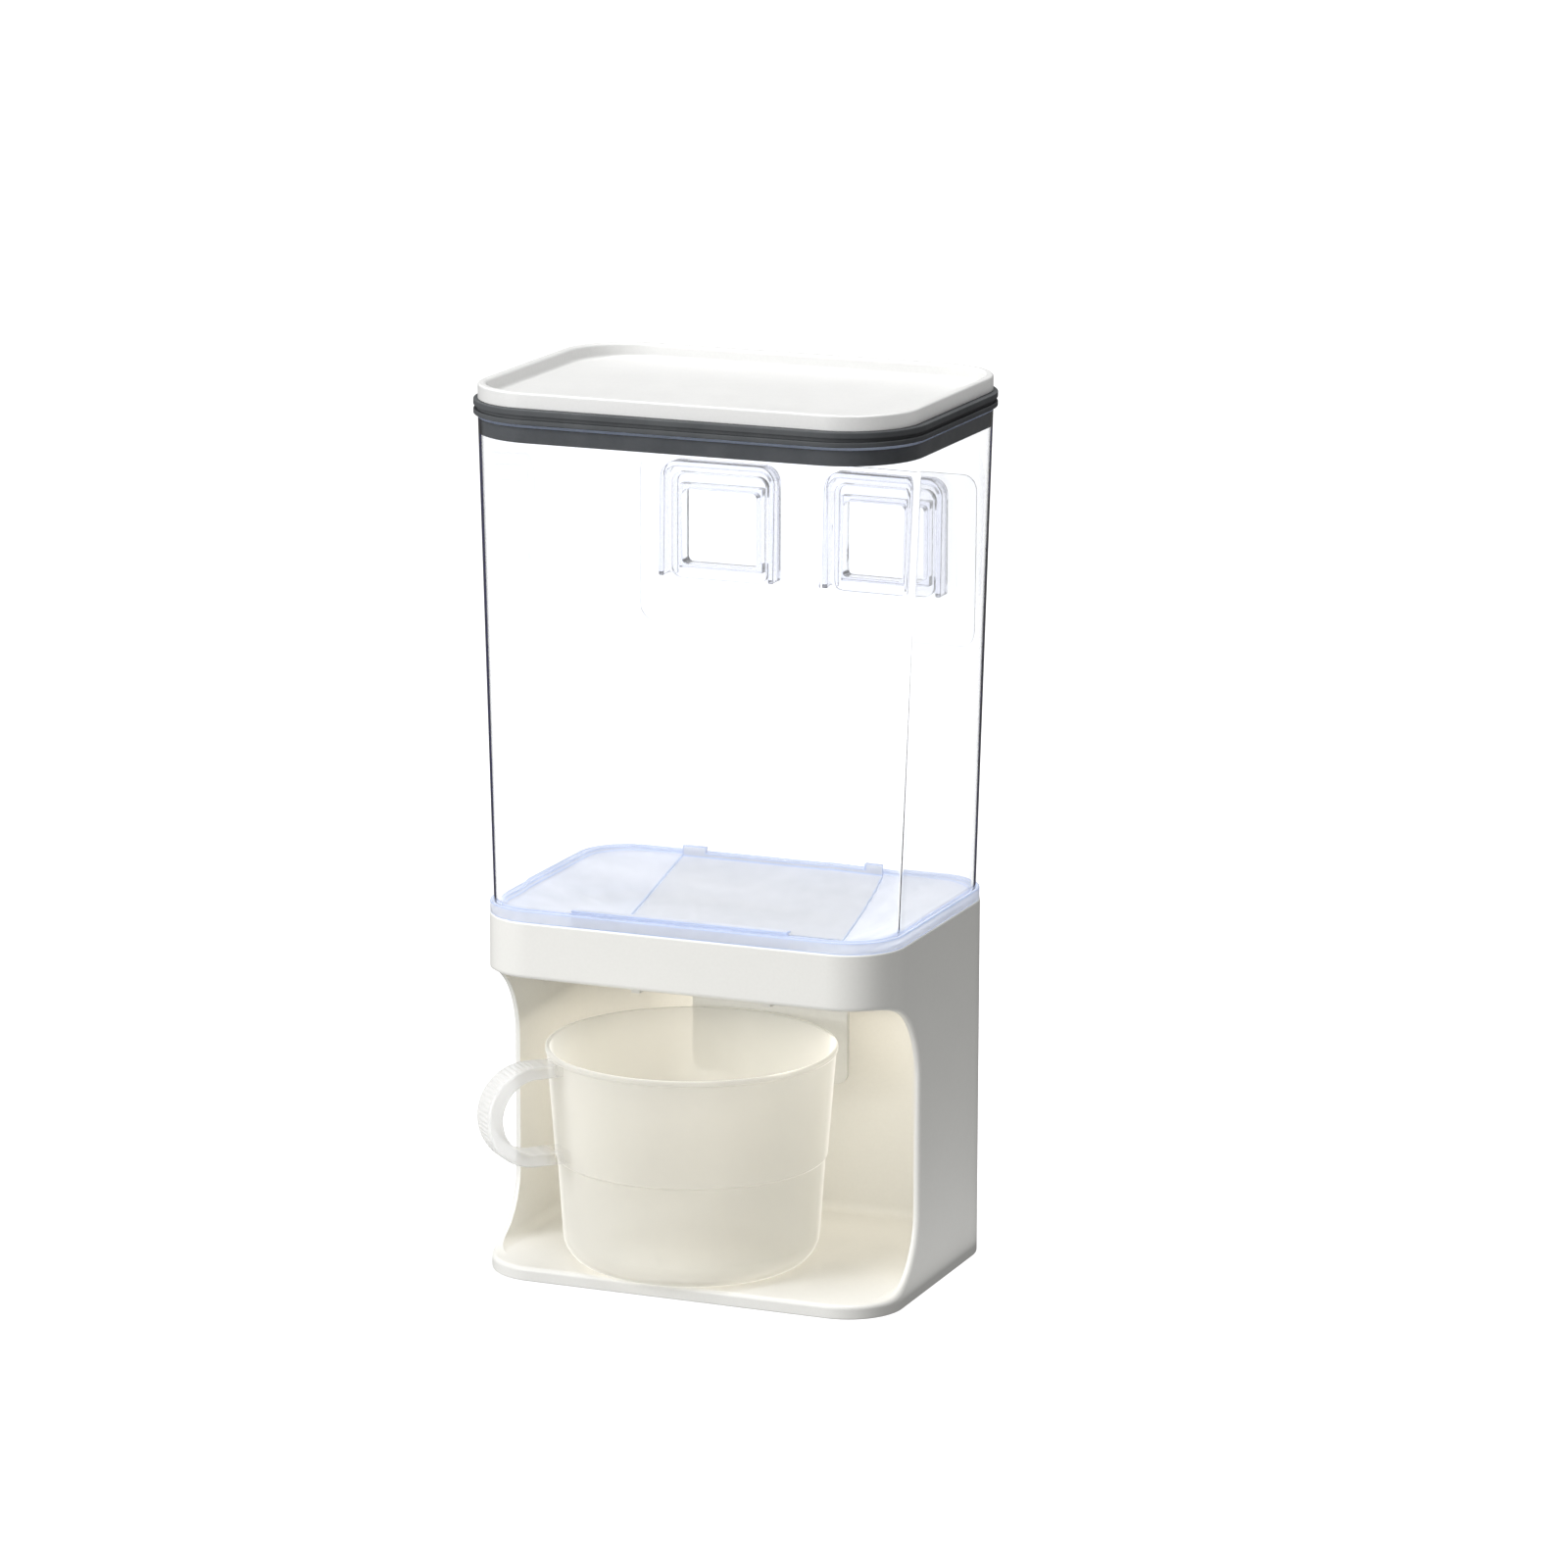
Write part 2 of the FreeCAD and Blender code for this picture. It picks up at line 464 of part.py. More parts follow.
def hook_socket(side):
    """Inverted U on the container's back with inward lips, open at the bottom."""
    half, wall_y = SOCKET_W / 2, BOX_BOTTOM_D / 2 - 1
    outer = block(-half, half, wall_y, SOCKET_BACK_Y, SOCKET_LOW_Z, SOCKET_TOP_Z)
    outer = outer.makeFillet(SOCKET_CORNER_R, top_corner_edges(outer, SOCKET_TOP_Z))
    bore = half - SOCKET_WALL
    room_top = SOCKET_TOP_Z - SOCKET_WALL
    room = block(-bore, bore, wall_y - 1, SOCKET_BACK_Y - LIP_T, SOCKET_LOW_Z - 1, room_top)
    room = room.makeFillet(SOCKET_BORE_R, top_corner_edges(room, room_top))
    mouth = bore - LIP_W
    slot_top = room_top - LIP_W
    slot = block(-mouth, mouth, wall_y - 1, SOCKET_BACK_Y + 1, SOCKET_LOW_Z - 1, slot_top)
    slot = slot.makeFillet(SOCKET_SLOT_R, top_corner_edges(slot, slot_top))
    socket = outer.cut(room).cut(slot)
    socket = socket.cut(behind_back_wall(-SOCKET_W, SOCKET_W))
    socket.translate(vec(side * HOOK_X, 0, 0))
    return socket


def behind_back_wall(x0, x1):
    """Wedge in front of the container's flat, sloping back face."""
    low_y, top_y = BOX_BOTTOM_D / 2, BOX_TOP_D / 2
    return side_profile([(0, RIM_TOP), (low_y, RIM_TOP), (top_y, BOX_TOP_Z), (0, BOX_TOP_Z)], x0, x1)


def along_y(edge):
    ends = [vertex.Point for vertex in edge.Vertexes]
    return abs(ends[0].x - ends[-1].x) < 0.01 and abs(ends[0].z - ends[-1].z) < 0.01


def top_corner_edges(shape, top_z):
    return [e for e in shape.Edges if along_y(e) and abs(e.Vertexes[0].Point.z - top_z) < 0.01]


# ---- lid ----
def lid_shell():
    shell = rounded_prism(LID_W, LID_D, LID_R, LID_BOTTOM_Z, LID_TOP_Z)
    rim_edges = edges_where(shell, lambda p: p.z > LID_TOP_Z - 0.01)
    shell = shell.makeFillet(LID_EDGE_R, rim_edges)
    tray_w, tray_d = LID_W - 2 * TRAY_RIM, LID_D - 2 * TRAY_RIM
    tray = rounded_prism(tray_w, tray_d, LID_R - TRAY_RIM, TRAY_Z, LID_TOP_Z + 1)
    tray = tray.makeFillet(TRAY_FILLET, edges_where(tray, lambda p: p.z < TRAY_Z + 0.01))
    shell = shell.cut(tray)
    plug_w, plug_d, plug_r = plug_size()
    floor = rounded_prism(plug_w, plug_d, plug_r, TRAY_Z - TRAY_FLOOR_T, TRAY_Z)
    plug = rounded_ring(plug_w, plug_d, plug_r, PLUG_WALL, SEAL_LOW_Z + PLUG_RISE, TRAY_Z)
    return shell.fuse(floor).fuse(plug).removeSplitter()


def seal_inner_size():
    width, depth, radius = container_size(BOX_TOP_Z)
    inset = BOX_WALL + SEAL_SIDE_GAP + SEAL_BAND_T
    return width - 2 * inset, depth - 2 * inset, radius - inset


def plug_size():
    width, depth, radius = seal_inner_size()
    return width - 2 * PLUG_GAP, depth - 2 * PLUG_GAP, radius - PLUG_GAP


def lid_seal():
    """Soft ring: a grooved band over the container's edge and a lower band inside it."""
    width, depth, radius = container_size(BOX_TOP_Z)
    band_z0 = BOX_TOP_Z + SEAL_TOP_GAP
    band_w, band_d, band_r = width + 2 * SEAL_OUT, depth + 2 * SEAL_OUT, radius + SEAL_OUT
    band = rounded_prism(band_w, band_d, band_r, band_z0, LID_BOTTOM_Z)
    middle, half = (band_z0 + LID_BOTTOM_Z) / 2, SEAL_GROOVE / 2
    groove = rounded_ring(band_w + 1, band_d + 1, band_r + 0.5, 0.5 + SEAL_GROOVE,
                          middle - half, middle + half)
    inset = BOX_WALL + SEAL_SIDE_GAP
    low = rounded_prism(width - 2 * inset, depth - 2 * inset, radius - inset, SEAL_LOW_Z, band_z0)
    inner_w, inner_d, inner_r = seal_inner_size()
    hollow = rounded_prism(inner_w, inner_d, inner_r, SEAL_LOW_Z, LID_BOTTOM_Z)
    return band.cut(groove).fuse(low).cut(hollow).removeSplitter()


def lid_liner():
    width, depth, radius = plug_size()
    inset = PLUG_WALL + LINER_GAP
    z0 = SEAL_LOW_Z + PLUG_RISE + LINER_RISE
    return rounded_prism(width - 2 * inset, depth - 2 * inset, radius - inset, z0, z0 + LINER_T)


# ---- measuring cup ----
def cup_profile(shrink, floor_z, rim_z):
    """Outline of the cup's outer or inner wall in the XZ plane, from the axis out and up."""
    low_edge = CUP_EDGE_R - shrink
    foot = CUP_FOOT_R - shrink
    turn = math.sqrt(0.5)
    step_low = CUP_STEP_R - CUP_STEP - shrink
    centre_x, centre_z = foot - low_edge, floor_z + low_edge
    edges = [Part.makeLine(vec(0, 0, floor_z), vec(centre_x, 0, floor_z))]
    middle = vec(centre_x + low_edge * turn, 0, centre_z - low_edge * turn)
    edges.append(Part.Arc(vec(centre_x, 0, floor_z), middle, vec(foot, 0, centre_z)).toShape())
    edges.append(Part.makeLine(vec(foot, 0, centre_z), vec(step_low, 0, CUP_STEP_Z)))
    step_top, rim = vec(CUP_STEP_R - shrink, 0, CUP_STEP_Z + CUP_STEP_H), vec(CUP_RIM_R - shrink, 0, rim_z)
    edges.append(Part.makeLine(vec(step_low, 0, CUP_STEP_Z), step_top))
    edges.append(Part.makeLine(step_top, rim))
    edges.append(Part.makeLine(rim, vec(0, 0, rim_z)))
    edges.append(Part.makeLine(vec(0, 0, rim_z), vec(0, 0, floor_z)))
    return Part.Face(Part.Wire(edges)).revolve(vec(0, 0, 0), vec(0, 0, 1), 360)


def cup_body():
    outer = cup_profile(0, FLOOR_T, CUP_RIM_Z)
    inner = cup_profile(CUP_WALL, FLOOR_T + CUP_WALL, CUP_RIM_Z)
    cup = outer.cut(inner)
    cup.translate(vec(CUP_X, CUP_Y, 0))
    return cup


def handle_loop(inset, width):
    """Strip in the XZ plane from the cup's axis out to a round end, moved in by inset, extruded along Y."""
    reach, top_z, low_z = HANDLE_REACH - inset, HANDLE_TOP_Z - inset, HANDLE_LOW_Z + inset
    radius = (top_z - low_z) / 2
    end_x = reach - radius
    top, low = vec(end_x, 0, top_z), vec(end_x, 0, low_z)
    edges = [Part.makeLine(vec(0, 0, low_z), low)]
    edges.append(Part.Arc(low, vec(reach, 0, (top_z + low_z) / 2), top).toShape())
    edges.append(Part.makeLine(top, vec(0, 0, top_z)))
    edges.append(Part.makeLine(vec(0, 0, top_z), vec(0, 0, low_z)))
    strip = Part.Face(Part.Wire(edges)).extrude(vec(0, width, 0))
    strip.translate(vec(0, -width / 2, 0))
    return strip


def cup_handle():
    """Strap handle with fine cross ribs round the outside of its bend."""
    outer = handle_loop(RIB_H, HANDLE_W)
    inner = handle_loop(HANDLE_T, HANDLE_W + 1)
    strap = outer.cut(inner)
    bend_r = (HANDLE_TOP_Z - HANDLE_LOW_Z) / 2
    bend_x, bend_z = HANDLE_REACH - bend_r, (HANDLE_TOP_Z + HANDLE_LOW_Z) / 2
    count = int(math.pi * bend_r / RIB_PITCH)
    rib_half_w = HANDLE_W / 2 - RIB_BORDER
    for i in range(count + 1):
        rib = block(bend_r - 3 * RIB_H, bend_r, -rib_half_w, rib_half_w, -RIB_T / 2, RIB_T / 2)
        rib.rotate(vec(0, 0, 0), vec(0, 1, 0), 90 - 180.0 * i / count)
        rib.translate(vec(bend_x, 0, bend_z))
        strap = strap.fuse(rib)
    strap.rotate(vec(0, 0, 0), vec(0, 0, 1), 180 + HANDLE_TURN)
    strap.translate(vec(CUP_X, CUP_Y, 0))
    outside = cup_profile(0, FLOOR_T, CUP_RIM_Z)
    outside.translate(vec(CUP_X, CUP_Y, 0))
    return strap.cut(outside)


# ---- wall sheet with its hooks ----
def wall_hook(side):
    """Frame that slides up behind the socket's lips, on a narrower frame that reaches the sheet."""
    back_y = HOOK_FRONT_Y + HOOK_T
    half, window = HOOK_W / 2, HOOK_WINDOW_W / 2
    plate = block(-half, half, HOOK_FRONT_Y, back_y, HOOK_LOW_Z, HOOK_TOP_Z)
    plate = plate.makeFillet(HOOK_CORNER_R, [edge for edge in plate.Edges if along_y(edge)])
    stem_half = window + STEM_WALL
    stem = block(-stem_half, stem_half, back_y, SHEET_FRONT_Y, HOOK_WINDOW_LOW_Z - STEM_WALL,
                 HOOK_WINDOW_TOP_Z + STEM_WALL)
    opening = block(-window, window, HOOK_FRONT_Y - 1, SHEET_FRONT_Y + 1,
                    HOOK_WINDOW_LOW_Z, HOOK_WINDOW_TOP_Z)
    opening = opening.makeFillet(WINDOW_CORNER_R, [edge for edge in opening.Edges if along_y(edge)])
    hook = plate.fuse(stem).cut(opening).removeSplitter()
    hook.translate(vec(side * HOOK_X, 0, 0))
    return hook


def back_plate(y0, thickness):
    plate = block(-SHEET_W / 2, SHEET_W / 2, y0, y0 + thickness, SHEET_LOW_Z, SHEET_TOP_Z)
    return plate.makeFillet(SHEET_CORNER_R, [edge for edge in plate.Edges if along_y(edge)])


def build():
    os.makedirs("parts", exist_ok=True)
    save(base_housing(), "base_housing")
    save(inner_deck(), "inner_deck")
    save(deck_screws(), "deck_screws")
    save(lever_pin(), "lever_pin")
    save(pin_clips(), "pin_clips")
    save(return_spring(), "return_spring")
    save(push_lever(), "push_lever")
    save(gate_pad(), "gate_pad")
    save(hopper_frame(), "hopper_frame")
    save(sluice_insert(), "sluice_insert")
    save(container_body(), "container_body")
    save(lid_shell(), "lid_shell")
    save(lid_seal(), "lid_seal")
    save(lid_liner(), "lid_liner")
    save(cup_body(), "cup_body")
    save(cup_handle(), "cup_handle")
    save(back_plate(SHEET_FRONT_Y, WALL_SHEET_T), "wall_sheet")
    save(back_plate(SHEET_FRONT_Y + WALL_SHEET_T, GLUE_T), "adhesive_film")
    for side, name in ((-1, "left"), (1, "right")):
        save(hook_socket(side), "hook_socket_" + name)
        save(wall_hook(side), "wall_hook_" + name)


build()
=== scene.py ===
import bpy
import bmesh
import math
from mathutils import Matrix, Vector


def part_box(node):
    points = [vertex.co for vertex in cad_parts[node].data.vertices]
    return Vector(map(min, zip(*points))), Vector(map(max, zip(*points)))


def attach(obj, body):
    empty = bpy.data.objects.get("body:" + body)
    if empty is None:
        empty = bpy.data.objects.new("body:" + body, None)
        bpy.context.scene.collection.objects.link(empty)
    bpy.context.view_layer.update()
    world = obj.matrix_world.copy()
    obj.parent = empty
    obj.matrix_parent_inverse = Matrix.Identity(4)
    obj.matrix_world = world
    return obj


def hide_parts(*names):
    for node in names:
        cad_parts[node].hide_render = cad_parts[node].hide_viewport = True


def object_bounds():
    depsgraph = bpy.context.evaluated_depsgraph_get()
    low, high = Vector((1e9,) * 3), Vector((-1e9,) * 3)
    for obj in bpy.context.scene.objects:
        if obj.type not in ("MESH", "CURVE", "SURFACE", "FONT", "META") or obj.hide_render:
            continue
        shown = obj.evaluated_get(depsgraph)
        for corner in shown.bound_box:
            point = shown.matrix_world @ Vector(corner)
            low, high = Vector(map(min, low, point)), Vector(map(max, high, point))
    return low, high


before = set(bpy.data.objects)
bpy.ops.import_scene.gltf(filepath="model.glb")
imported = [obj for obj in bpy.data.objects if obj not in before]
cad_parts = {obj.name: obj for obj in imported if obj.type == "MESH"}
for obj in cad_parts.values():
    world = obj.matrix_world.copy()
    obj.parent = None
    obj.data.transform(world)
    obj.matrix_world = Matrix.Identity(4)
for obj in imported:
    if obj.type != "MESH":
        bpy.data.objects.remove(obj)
cad_low, cad_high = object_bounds()

MM = 0.001

# ---- camera ----
CAMERA_TARGET = Vector((0.0585, -0.1002, 0.1942))
CAMERA_AZIMUTH, CAMERA_ELEVATION, CAMERA_ROLL = 22.21, 12.93, 0.17
CAMERA_DISTANCE = 2.2047
CAMERA_LENS, CAMERA_SENSOR = 156.9, 36.0
CAMERA_CLIP = (0.05, 60.0)

# ---- lights: azimuth, elevation, distance, width, height, power, colour ----
LIGHTS = {
    "front_left_softbox": (-34, 14, 2.2, 1.0, 1.4, 32, (1.0, 1.0, 1.0)),
    "top_softbox": (0, 84, 1.9, 1.2, 1.2, 32, (1.0, 1.0, 1.0)),
}
AMBIENT, AMBIENT_SHADE, SHADE_AZIMUTH, SHADE_SPAN = 0.40, 0.15, 100, 0.8
# soft fills that stand in for the light that thin plastic lets through: width, depth, power, colour
NICHE_FILL = (0.100, 0.080, 0.076, (1.0, 0.92, 0.79))
CUP_FILL = (0.078, 0.055, 0.038, (1.0, 0.92, 0.80))
CONTAINER_FILL = (0.11, 0.07, 0.30, (1.0, 0.99, 0.97))
FLOOR_BOUNCE = (0.18, 0.14, 0.050, (1.0, 1.0, 1.0))
LID_FILL = (0.18, 0.14, 0.055, (1.0, 1.0, 1.0))
NICHE_FILL_PLACE, CUP_FILL_SHIFT = (-3 * MM, 1 * MM), 8 * MM
FILL_GAP = 3 * MM
# what gloss mirrors: dark at the horizon, bright above, over this span of the sky's height
GLOSS_LOW, GLOSS_HIGH, GLOSS_SPAN = 0.16, 0.75, (0.1, 0.9)
# what refraction picks up: white ahead, dark to the far left and right
WHITE_SEEN, SIDE_SEEN, SIDE_SPAN = 1.15, 0.05, (0.25, 0.75)

FLOOR_RADIUS, FLOOR_STEPS, FLOOR_GAP = 9.0, 96, 0.02 * MM
FLOOR_COLOUR, FLOOR_GLOW = 0.35, 1.0


# ---- scene: camera, lights, world and floor ----
def direction(azimuth, elevation):
    """Unit vector away from the object; azimuth 0 is the front, which faces -Y, and 90 is the right."""
    a, e = math.radians(azimuth), math.radians(elevation)
    return Vector((math.sin(a) * math.cos(e), -math.cos(a) * math.cos(e), math.sin(e)))


def add_camera():
    """The photo's camera, as worked out from the object's own edges."""
    data = bpy.data.cameras.new("camera")
    data.lens, data.sensor_width = CAMERA_LENS, CAMERA_SENSOR
    data.clip_start, data.clip_end = CAMERA_CLIP
    camera = bpy.data.objects.new("camera", data)
    bpy.context.scene.collection.objects.link(camera)
    back = direction(CAMERA_AZIMUTH, CAMERA_ELEVATION)
    camera.location = CAMERA_TARGET + back * CAMERA_DISTANCE
    roll = Matrix.Rotation(math.radians(CAMERA_ROLL), 3, "Z")
    camera.rotation_euler = ((-back).to_track_quat("-Z", "Y").to_matrix() @ roll).to_euler()
    bpy.context.scene.camera = camera


def area_light(name, width, height, power, colour):
    data = bpy.data.lights.new(name, "AREA")
    data.shape = "RECTANGLE"
    data.size, data.size_y = width, height
    data.energy, data.color = power, colour
    light = bpy.data.objects.new(name, data)
    bpy.context.scene.collection.objects.link(light)
    return light


def add_lights():
    """Large softboxes that face the object's middle."""
    aim = (cad_low + cad_high) / 2
    for name, (azimuth, elevation, distance, *size, power, colour) in LIGHTS.items():
        light = area_light(name, *size, power, colour)
        back = direction(azimuth, elevation)
        light.location = aim + back * distance
        light.rotation_euler = (-back).to_track_quat("-Z", "Y").to_euler()
        light.visible_camera = False


def link_pieces(light, pieces, state):
    """Let a light reach only these pieces, or with EXCLUDE all but these."""
    group = bpy.data.collections.new(light.name + "_pieces")
    for piece in pieces:
        group.objects.link(piece)
    light.light_linking.receiver_collection = group
    for entry in group.collection_objects:
        entry.light_linking.link_state = state


def add_fill(name, place, settings, upward=False, pieces=(), state="INCLUDE"):
    """A light that shows in no gloss or glass, facing down or up.

    pieces are the only ones that it lights, or with EXCLUDE the ones that it passes over.
    """
    light = area_light(name, *settings)
    light.location = place
    light.rotation_euler.x = math.pi if upward else 0.0
    light.visible_camera = light.visible_glossy = light.visible_transmission = False
    if pieces:
        link_pieces(light, pieces, state)


def add_fills():
    """Fills for the hollows, and a weak one that lights only the lid's right side."""
    # the clear walls don't mirror the softboxes, and the thin strap isn't burnt out by the upper one
    container = bpy.data.objects["container_piece"]
    link_pieces(bpy.data.objects["front_left_softbox"], (container,), "EXCLUDE")
    link_pieces(bpy.data.objects["top_softbox"], (container, bpy.data.objects["cup_strap"]), "EXCLUDE")
    over_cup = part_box("cup_body")[1].z + FILL_GAP
    cup, strap, plate = [bpy.data.objects[name] for name in ("cup", "cup_strap", "push_lever_piece")]
    add_fill("niche_fill", (*NICHE_FILL_PLACE, over_cup), NICHE_FILL,
             pieces=(cup, strap, plate), state="EXCLUDE")
    above = cup_place()[0] + Vector((CUP_FILL_SHIFT, 0, over_cup))
    add_fill("cup_fill", above, CUP_FILL, pieces=(cup, plate))
    under_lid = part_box("lid_seal")[0].z - FILL_GAP
    add_fill("container_fill", (0, 0, under_lid), CONTAINER_FILL)
    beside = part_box("base_housing")[1].x + FLOOR_BOUNCE[0] / 2 + FILL_GAP
    lid = bpy.data.objects["lid_top"]
    shelf = Vector((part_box("lid_shell")[1].x + LID_FILL[0] / 2 + FILL_GAP, 0, under_lid))
    add_fill("lid_side_fill", shelf, LID_FILL, upward=True, pieces=(lid,))
    add_fill("floor_bounce", (beside, 0, FILL_GAP), FLOOR_BOUNCE, upward=True)


class Nodes:
    """Short way to build a node tree."""

    def __init__(self, tree):
        self.tree = tree
        tree.nodes.clear()

    def add(self, kind, inputs=None, **settings):
        """Add a node. An input is a value or another node's output; settings are the node's properties."""
        node = self.tree.nodes.new(kind)
        for key, value in settings.items():
            setattr(node, key, value)
        for key, value in (inputs or {}).items():
            if isinstance(value, bpy.types.NodeSocket):
                self.tree.links.new(value, node.inputs[key])
            else:
                node.inputs[key].default_value = value
        return node


def add_world():
    """White behind everything. Matt surfaces get an even, weaker light; gloss mirrors a dark horizon."""
    world = bpy.data.worlds.new("studio")
    world.use_nodes = True
    world.cycles.sampling_method = "NONE"
    bpy.context.scene.world = world
    n = Nodes(world.node_tree)
    place = n.add("ShaderNodeTexCoord").outputs["Generated"]
    toward = direction(SHADE_AZIMUTH, 0)
    along = n.add("ShaderNodeVectorMath", {0: place, 1: toward}, operation="DOT_PRODUCT").outputs["Value"]
    limits = {0: along, 1: 0.0, 2: SHADE_SPAN, 3: AMBIENT, 4: AMBIENT - AMBIENT_SHADE}
    shade = n.add("ShaderNodeMapRange", limits, interpolation_type="SMOOTHSTEP").outputs[0]
    up = n.add("ShaderNodeSeparateXYZ", {0: place}).outputs["Z"]
    sky = spread(n, up, GLOSS_LOW, GLOSS_HIGH, *GLOSS_SPAN)
    across = direction(CAMERA_AZIMUTH + 90, 0)
    side = n.add("ShaderNodeVectorMath", {0: place, 1: across}, operation="DOT_PRODUCT").outputs["Value"]
    side = n.add("ShaderNodeMath", {0: side}, operation="ABSOLUTE").outputs[0]
    ahead = spread(n, side, WHITE_SEEN, SIDE_SEEN, *SIDE_SPAN)
    white = (1.0, 1.0, 1.0, 1.0)
    matt = n.add("ShaderNodeBackground", {0: white, 1: shade}).outputs[0]
    gloss = n.add("ShaderNodeBackground", {0: white, 1: sky}).outputs[0]
    bent = n.add("ShaderNodeBackground", {0: white, 1: ahead}).outputs[0]
    seen = n.add("ShaderNodeBackground", {0: white, 1: WHITE_SEEN}).outputs[0]
    path = n.add("ShaderNodeLightPath").outputs
    # a refracted ray counts as a glossy ray too, so its share comes after
    shown = n.add("ShaderNodeMixShader", {0: path["Is Glossy Ray"], 1: seen, 2: gloss}).outputs[0]
    shown = n.add("ShaderNodeMixShader", {0: path["Is Transmission Ray"], 1: shown, 2: bent}).outputs[0]
    shown = n.add("ShaderNodeMixShader", {0: path["Is Diffuse Ray"], 1: shown, 2: matt}).outputs[0]
    n.add("ShaderNodeOutputWorld", {"Surface": shown})


def add_floor():
    """Large pale disc just below the object, left out of diffuse light and of gloss."""
    bm = bmesh.new()
    bmesh.ops.create_circle(bm, cap_ends=True, segments=FLOOR_STEPS, radius=FLOOR_RADIUS)
    mesh = bpy.data.meshes.new("floor")
    bm.to_mesh(mesh)
    bm.free()
    floor = bpy.data.objects.new("floor", mesh)
    floor.location.z = cad_low.z - FLOOR_GAP
    bpy.context.scene.collection.objects.link(floor)
    material, n = start_material("pale_floor")
    colour = (FLOOR_COLOUR, FLOOR_COLOUR, FLOOR_COLOUR, 1.0)
    shader = n.add("ShaderNodeBsdfPrincipled", {"Base Color": colour, "Roughness": 0.6,
                                                "Emission Color": (1.0, 1.0, 1.0, 1.0),
                                                "Emission Strength": FLOOR_GLOW,
                                                "Specular IOR Level": 0.1})
    n.add("ShaderNodeOutputMaterial", {"Surface": shader.outputs[0]})
    mesh.materials.append(material)
    floor.visible_diffuse = False
    floor.visible_glossy = False


# ---- materials ----
# slants, 0 straight on and 1 edge on, between which a round corner takes its painted dark shade and a thin
# edge its painted highlight
EDGE_FACING, HIGHLIGHT_FACING = (0.63, 0.74), (0.62, 0.76)
# how far from the axis the container's corners begin to take the painted dark shade, and over what width
CORNER_STARTS, CORNER_BLEND = {"X": 50 * MM, "Y": 29 * MM}, 5 * MM
# the strap's cover where it meets the cup, and the radii from the cup's axis between which it fades in
MELT_COVER, MELT_NEAR, MELT_FAR = 0.08, 49.5 * MM, 56 * MM
PLASTIC_IOR, CLEAR_IOR, FROSTED_IOR, RUBBER_IOR = 1.5, 1.49, 1.4, 1.43
CLEAR_SHADOW = (0.96, 0.97, 0.99, 1.0)
# dark and light streak of cloudy plastic
MILK = ((0.90, 0.905, 0.925), (0.95, 0.955, 0.975))
EDGE_MILK = ((0.62, 0.70, 0.92), (0.70, 0.78, 0.97))
SLUICE_MILK = ((0.80, 0.805, 0.815), (0.87, 0.875, 0.885))
RIM_MILK = ((0.62, 0.69, 0.88), (0.70, 0.77, 0.93))


def start_material(name):
    material = bpy.data.materials.new(name)
    material.use_nodes = True
    return material, Nodes(material.node_tree)


def noise(n, place, scale, detail=3.0, roughness=0.5):
    settings = {"Vector": place, "Scale": scale, "Detail": detail, "Roughness": roughness}
    return n.add("ShaderNodeTexNoise", settings).outputs["Fac"]


def spread(n, value, low, high, from_low=0.3, from_high=0.7):
    """Map a value between from_low and from_high, which suit a noise, to the range from low to high."""
    return n.add("ShaderNodeMapRange", {0: value, 1: from_low, 2: from_high, 3: low, 4: high}).outputs[0]


def blend_colour(n, factor, first, second):
    """Colour that goes from first to second as the factor goes from 0 to 1."""
    node = n.add("ShaderNodeMix", data_type="RGBA")
    n.tree.links.new(factor, node.inputs["Factor"])
    node.inputs[6].default_value = (*first, 1.0)
    node.inputs[7].default_value = (*second, 1.0)
    return node.outputs[2]


def moulded_plastic(name, light, dark, rough, grain=0.02, sink=0.0):
    """Opaque moulded plastic: cloudy colour, fine moulded grain, handling marks in the gloss."""
    material, n = start_material(name)
    place = n.add("ShaderNodeTexCoord").outputs["Object"]
    clouds = noise(n, place, 22.0, 4.0)
    specks = noise(n, place, 900.0, 2.0)
    tone = n.add("ShaderNodeMath", {0: clouds, 1: specks}, operation="ADD").outputs[0]
    colour = blend_colour(n, spread(n, tone, 0.0, 1.0, 0.7, 1.3), dark, light)
    marks = noise(n, place, 60.0, 6.0, 0.7)
    roughness = spread(n, marks, rough - 0.05, rough + 0.07)
    fine = noise(n, place, 2600.0, 2.0)
    broad = noise(n, place, 14.0, 1.0)
    waves = n.add("ShaderNodeBump", {"Strength": sink, "Distance": 0.4 * MM, "Height": broad})
    bump = n.add("ShaderNodeBump", {"Strength": grain, "Distance": 0.05 * MM, "Height": fine,
                                    "Normal": waves.outputs[0]})
    shader = n.add("ShaderNodeBsdfPrincipled", {"Base Color": colour, "Roughness": roughness,
                                                "IOR": PLASTIC_IOR, "Normal": bump.outputs[0]})
    n.add("ShaderNodeOutputMaterial", {"Surface": shader.outputs[0]})
    return material


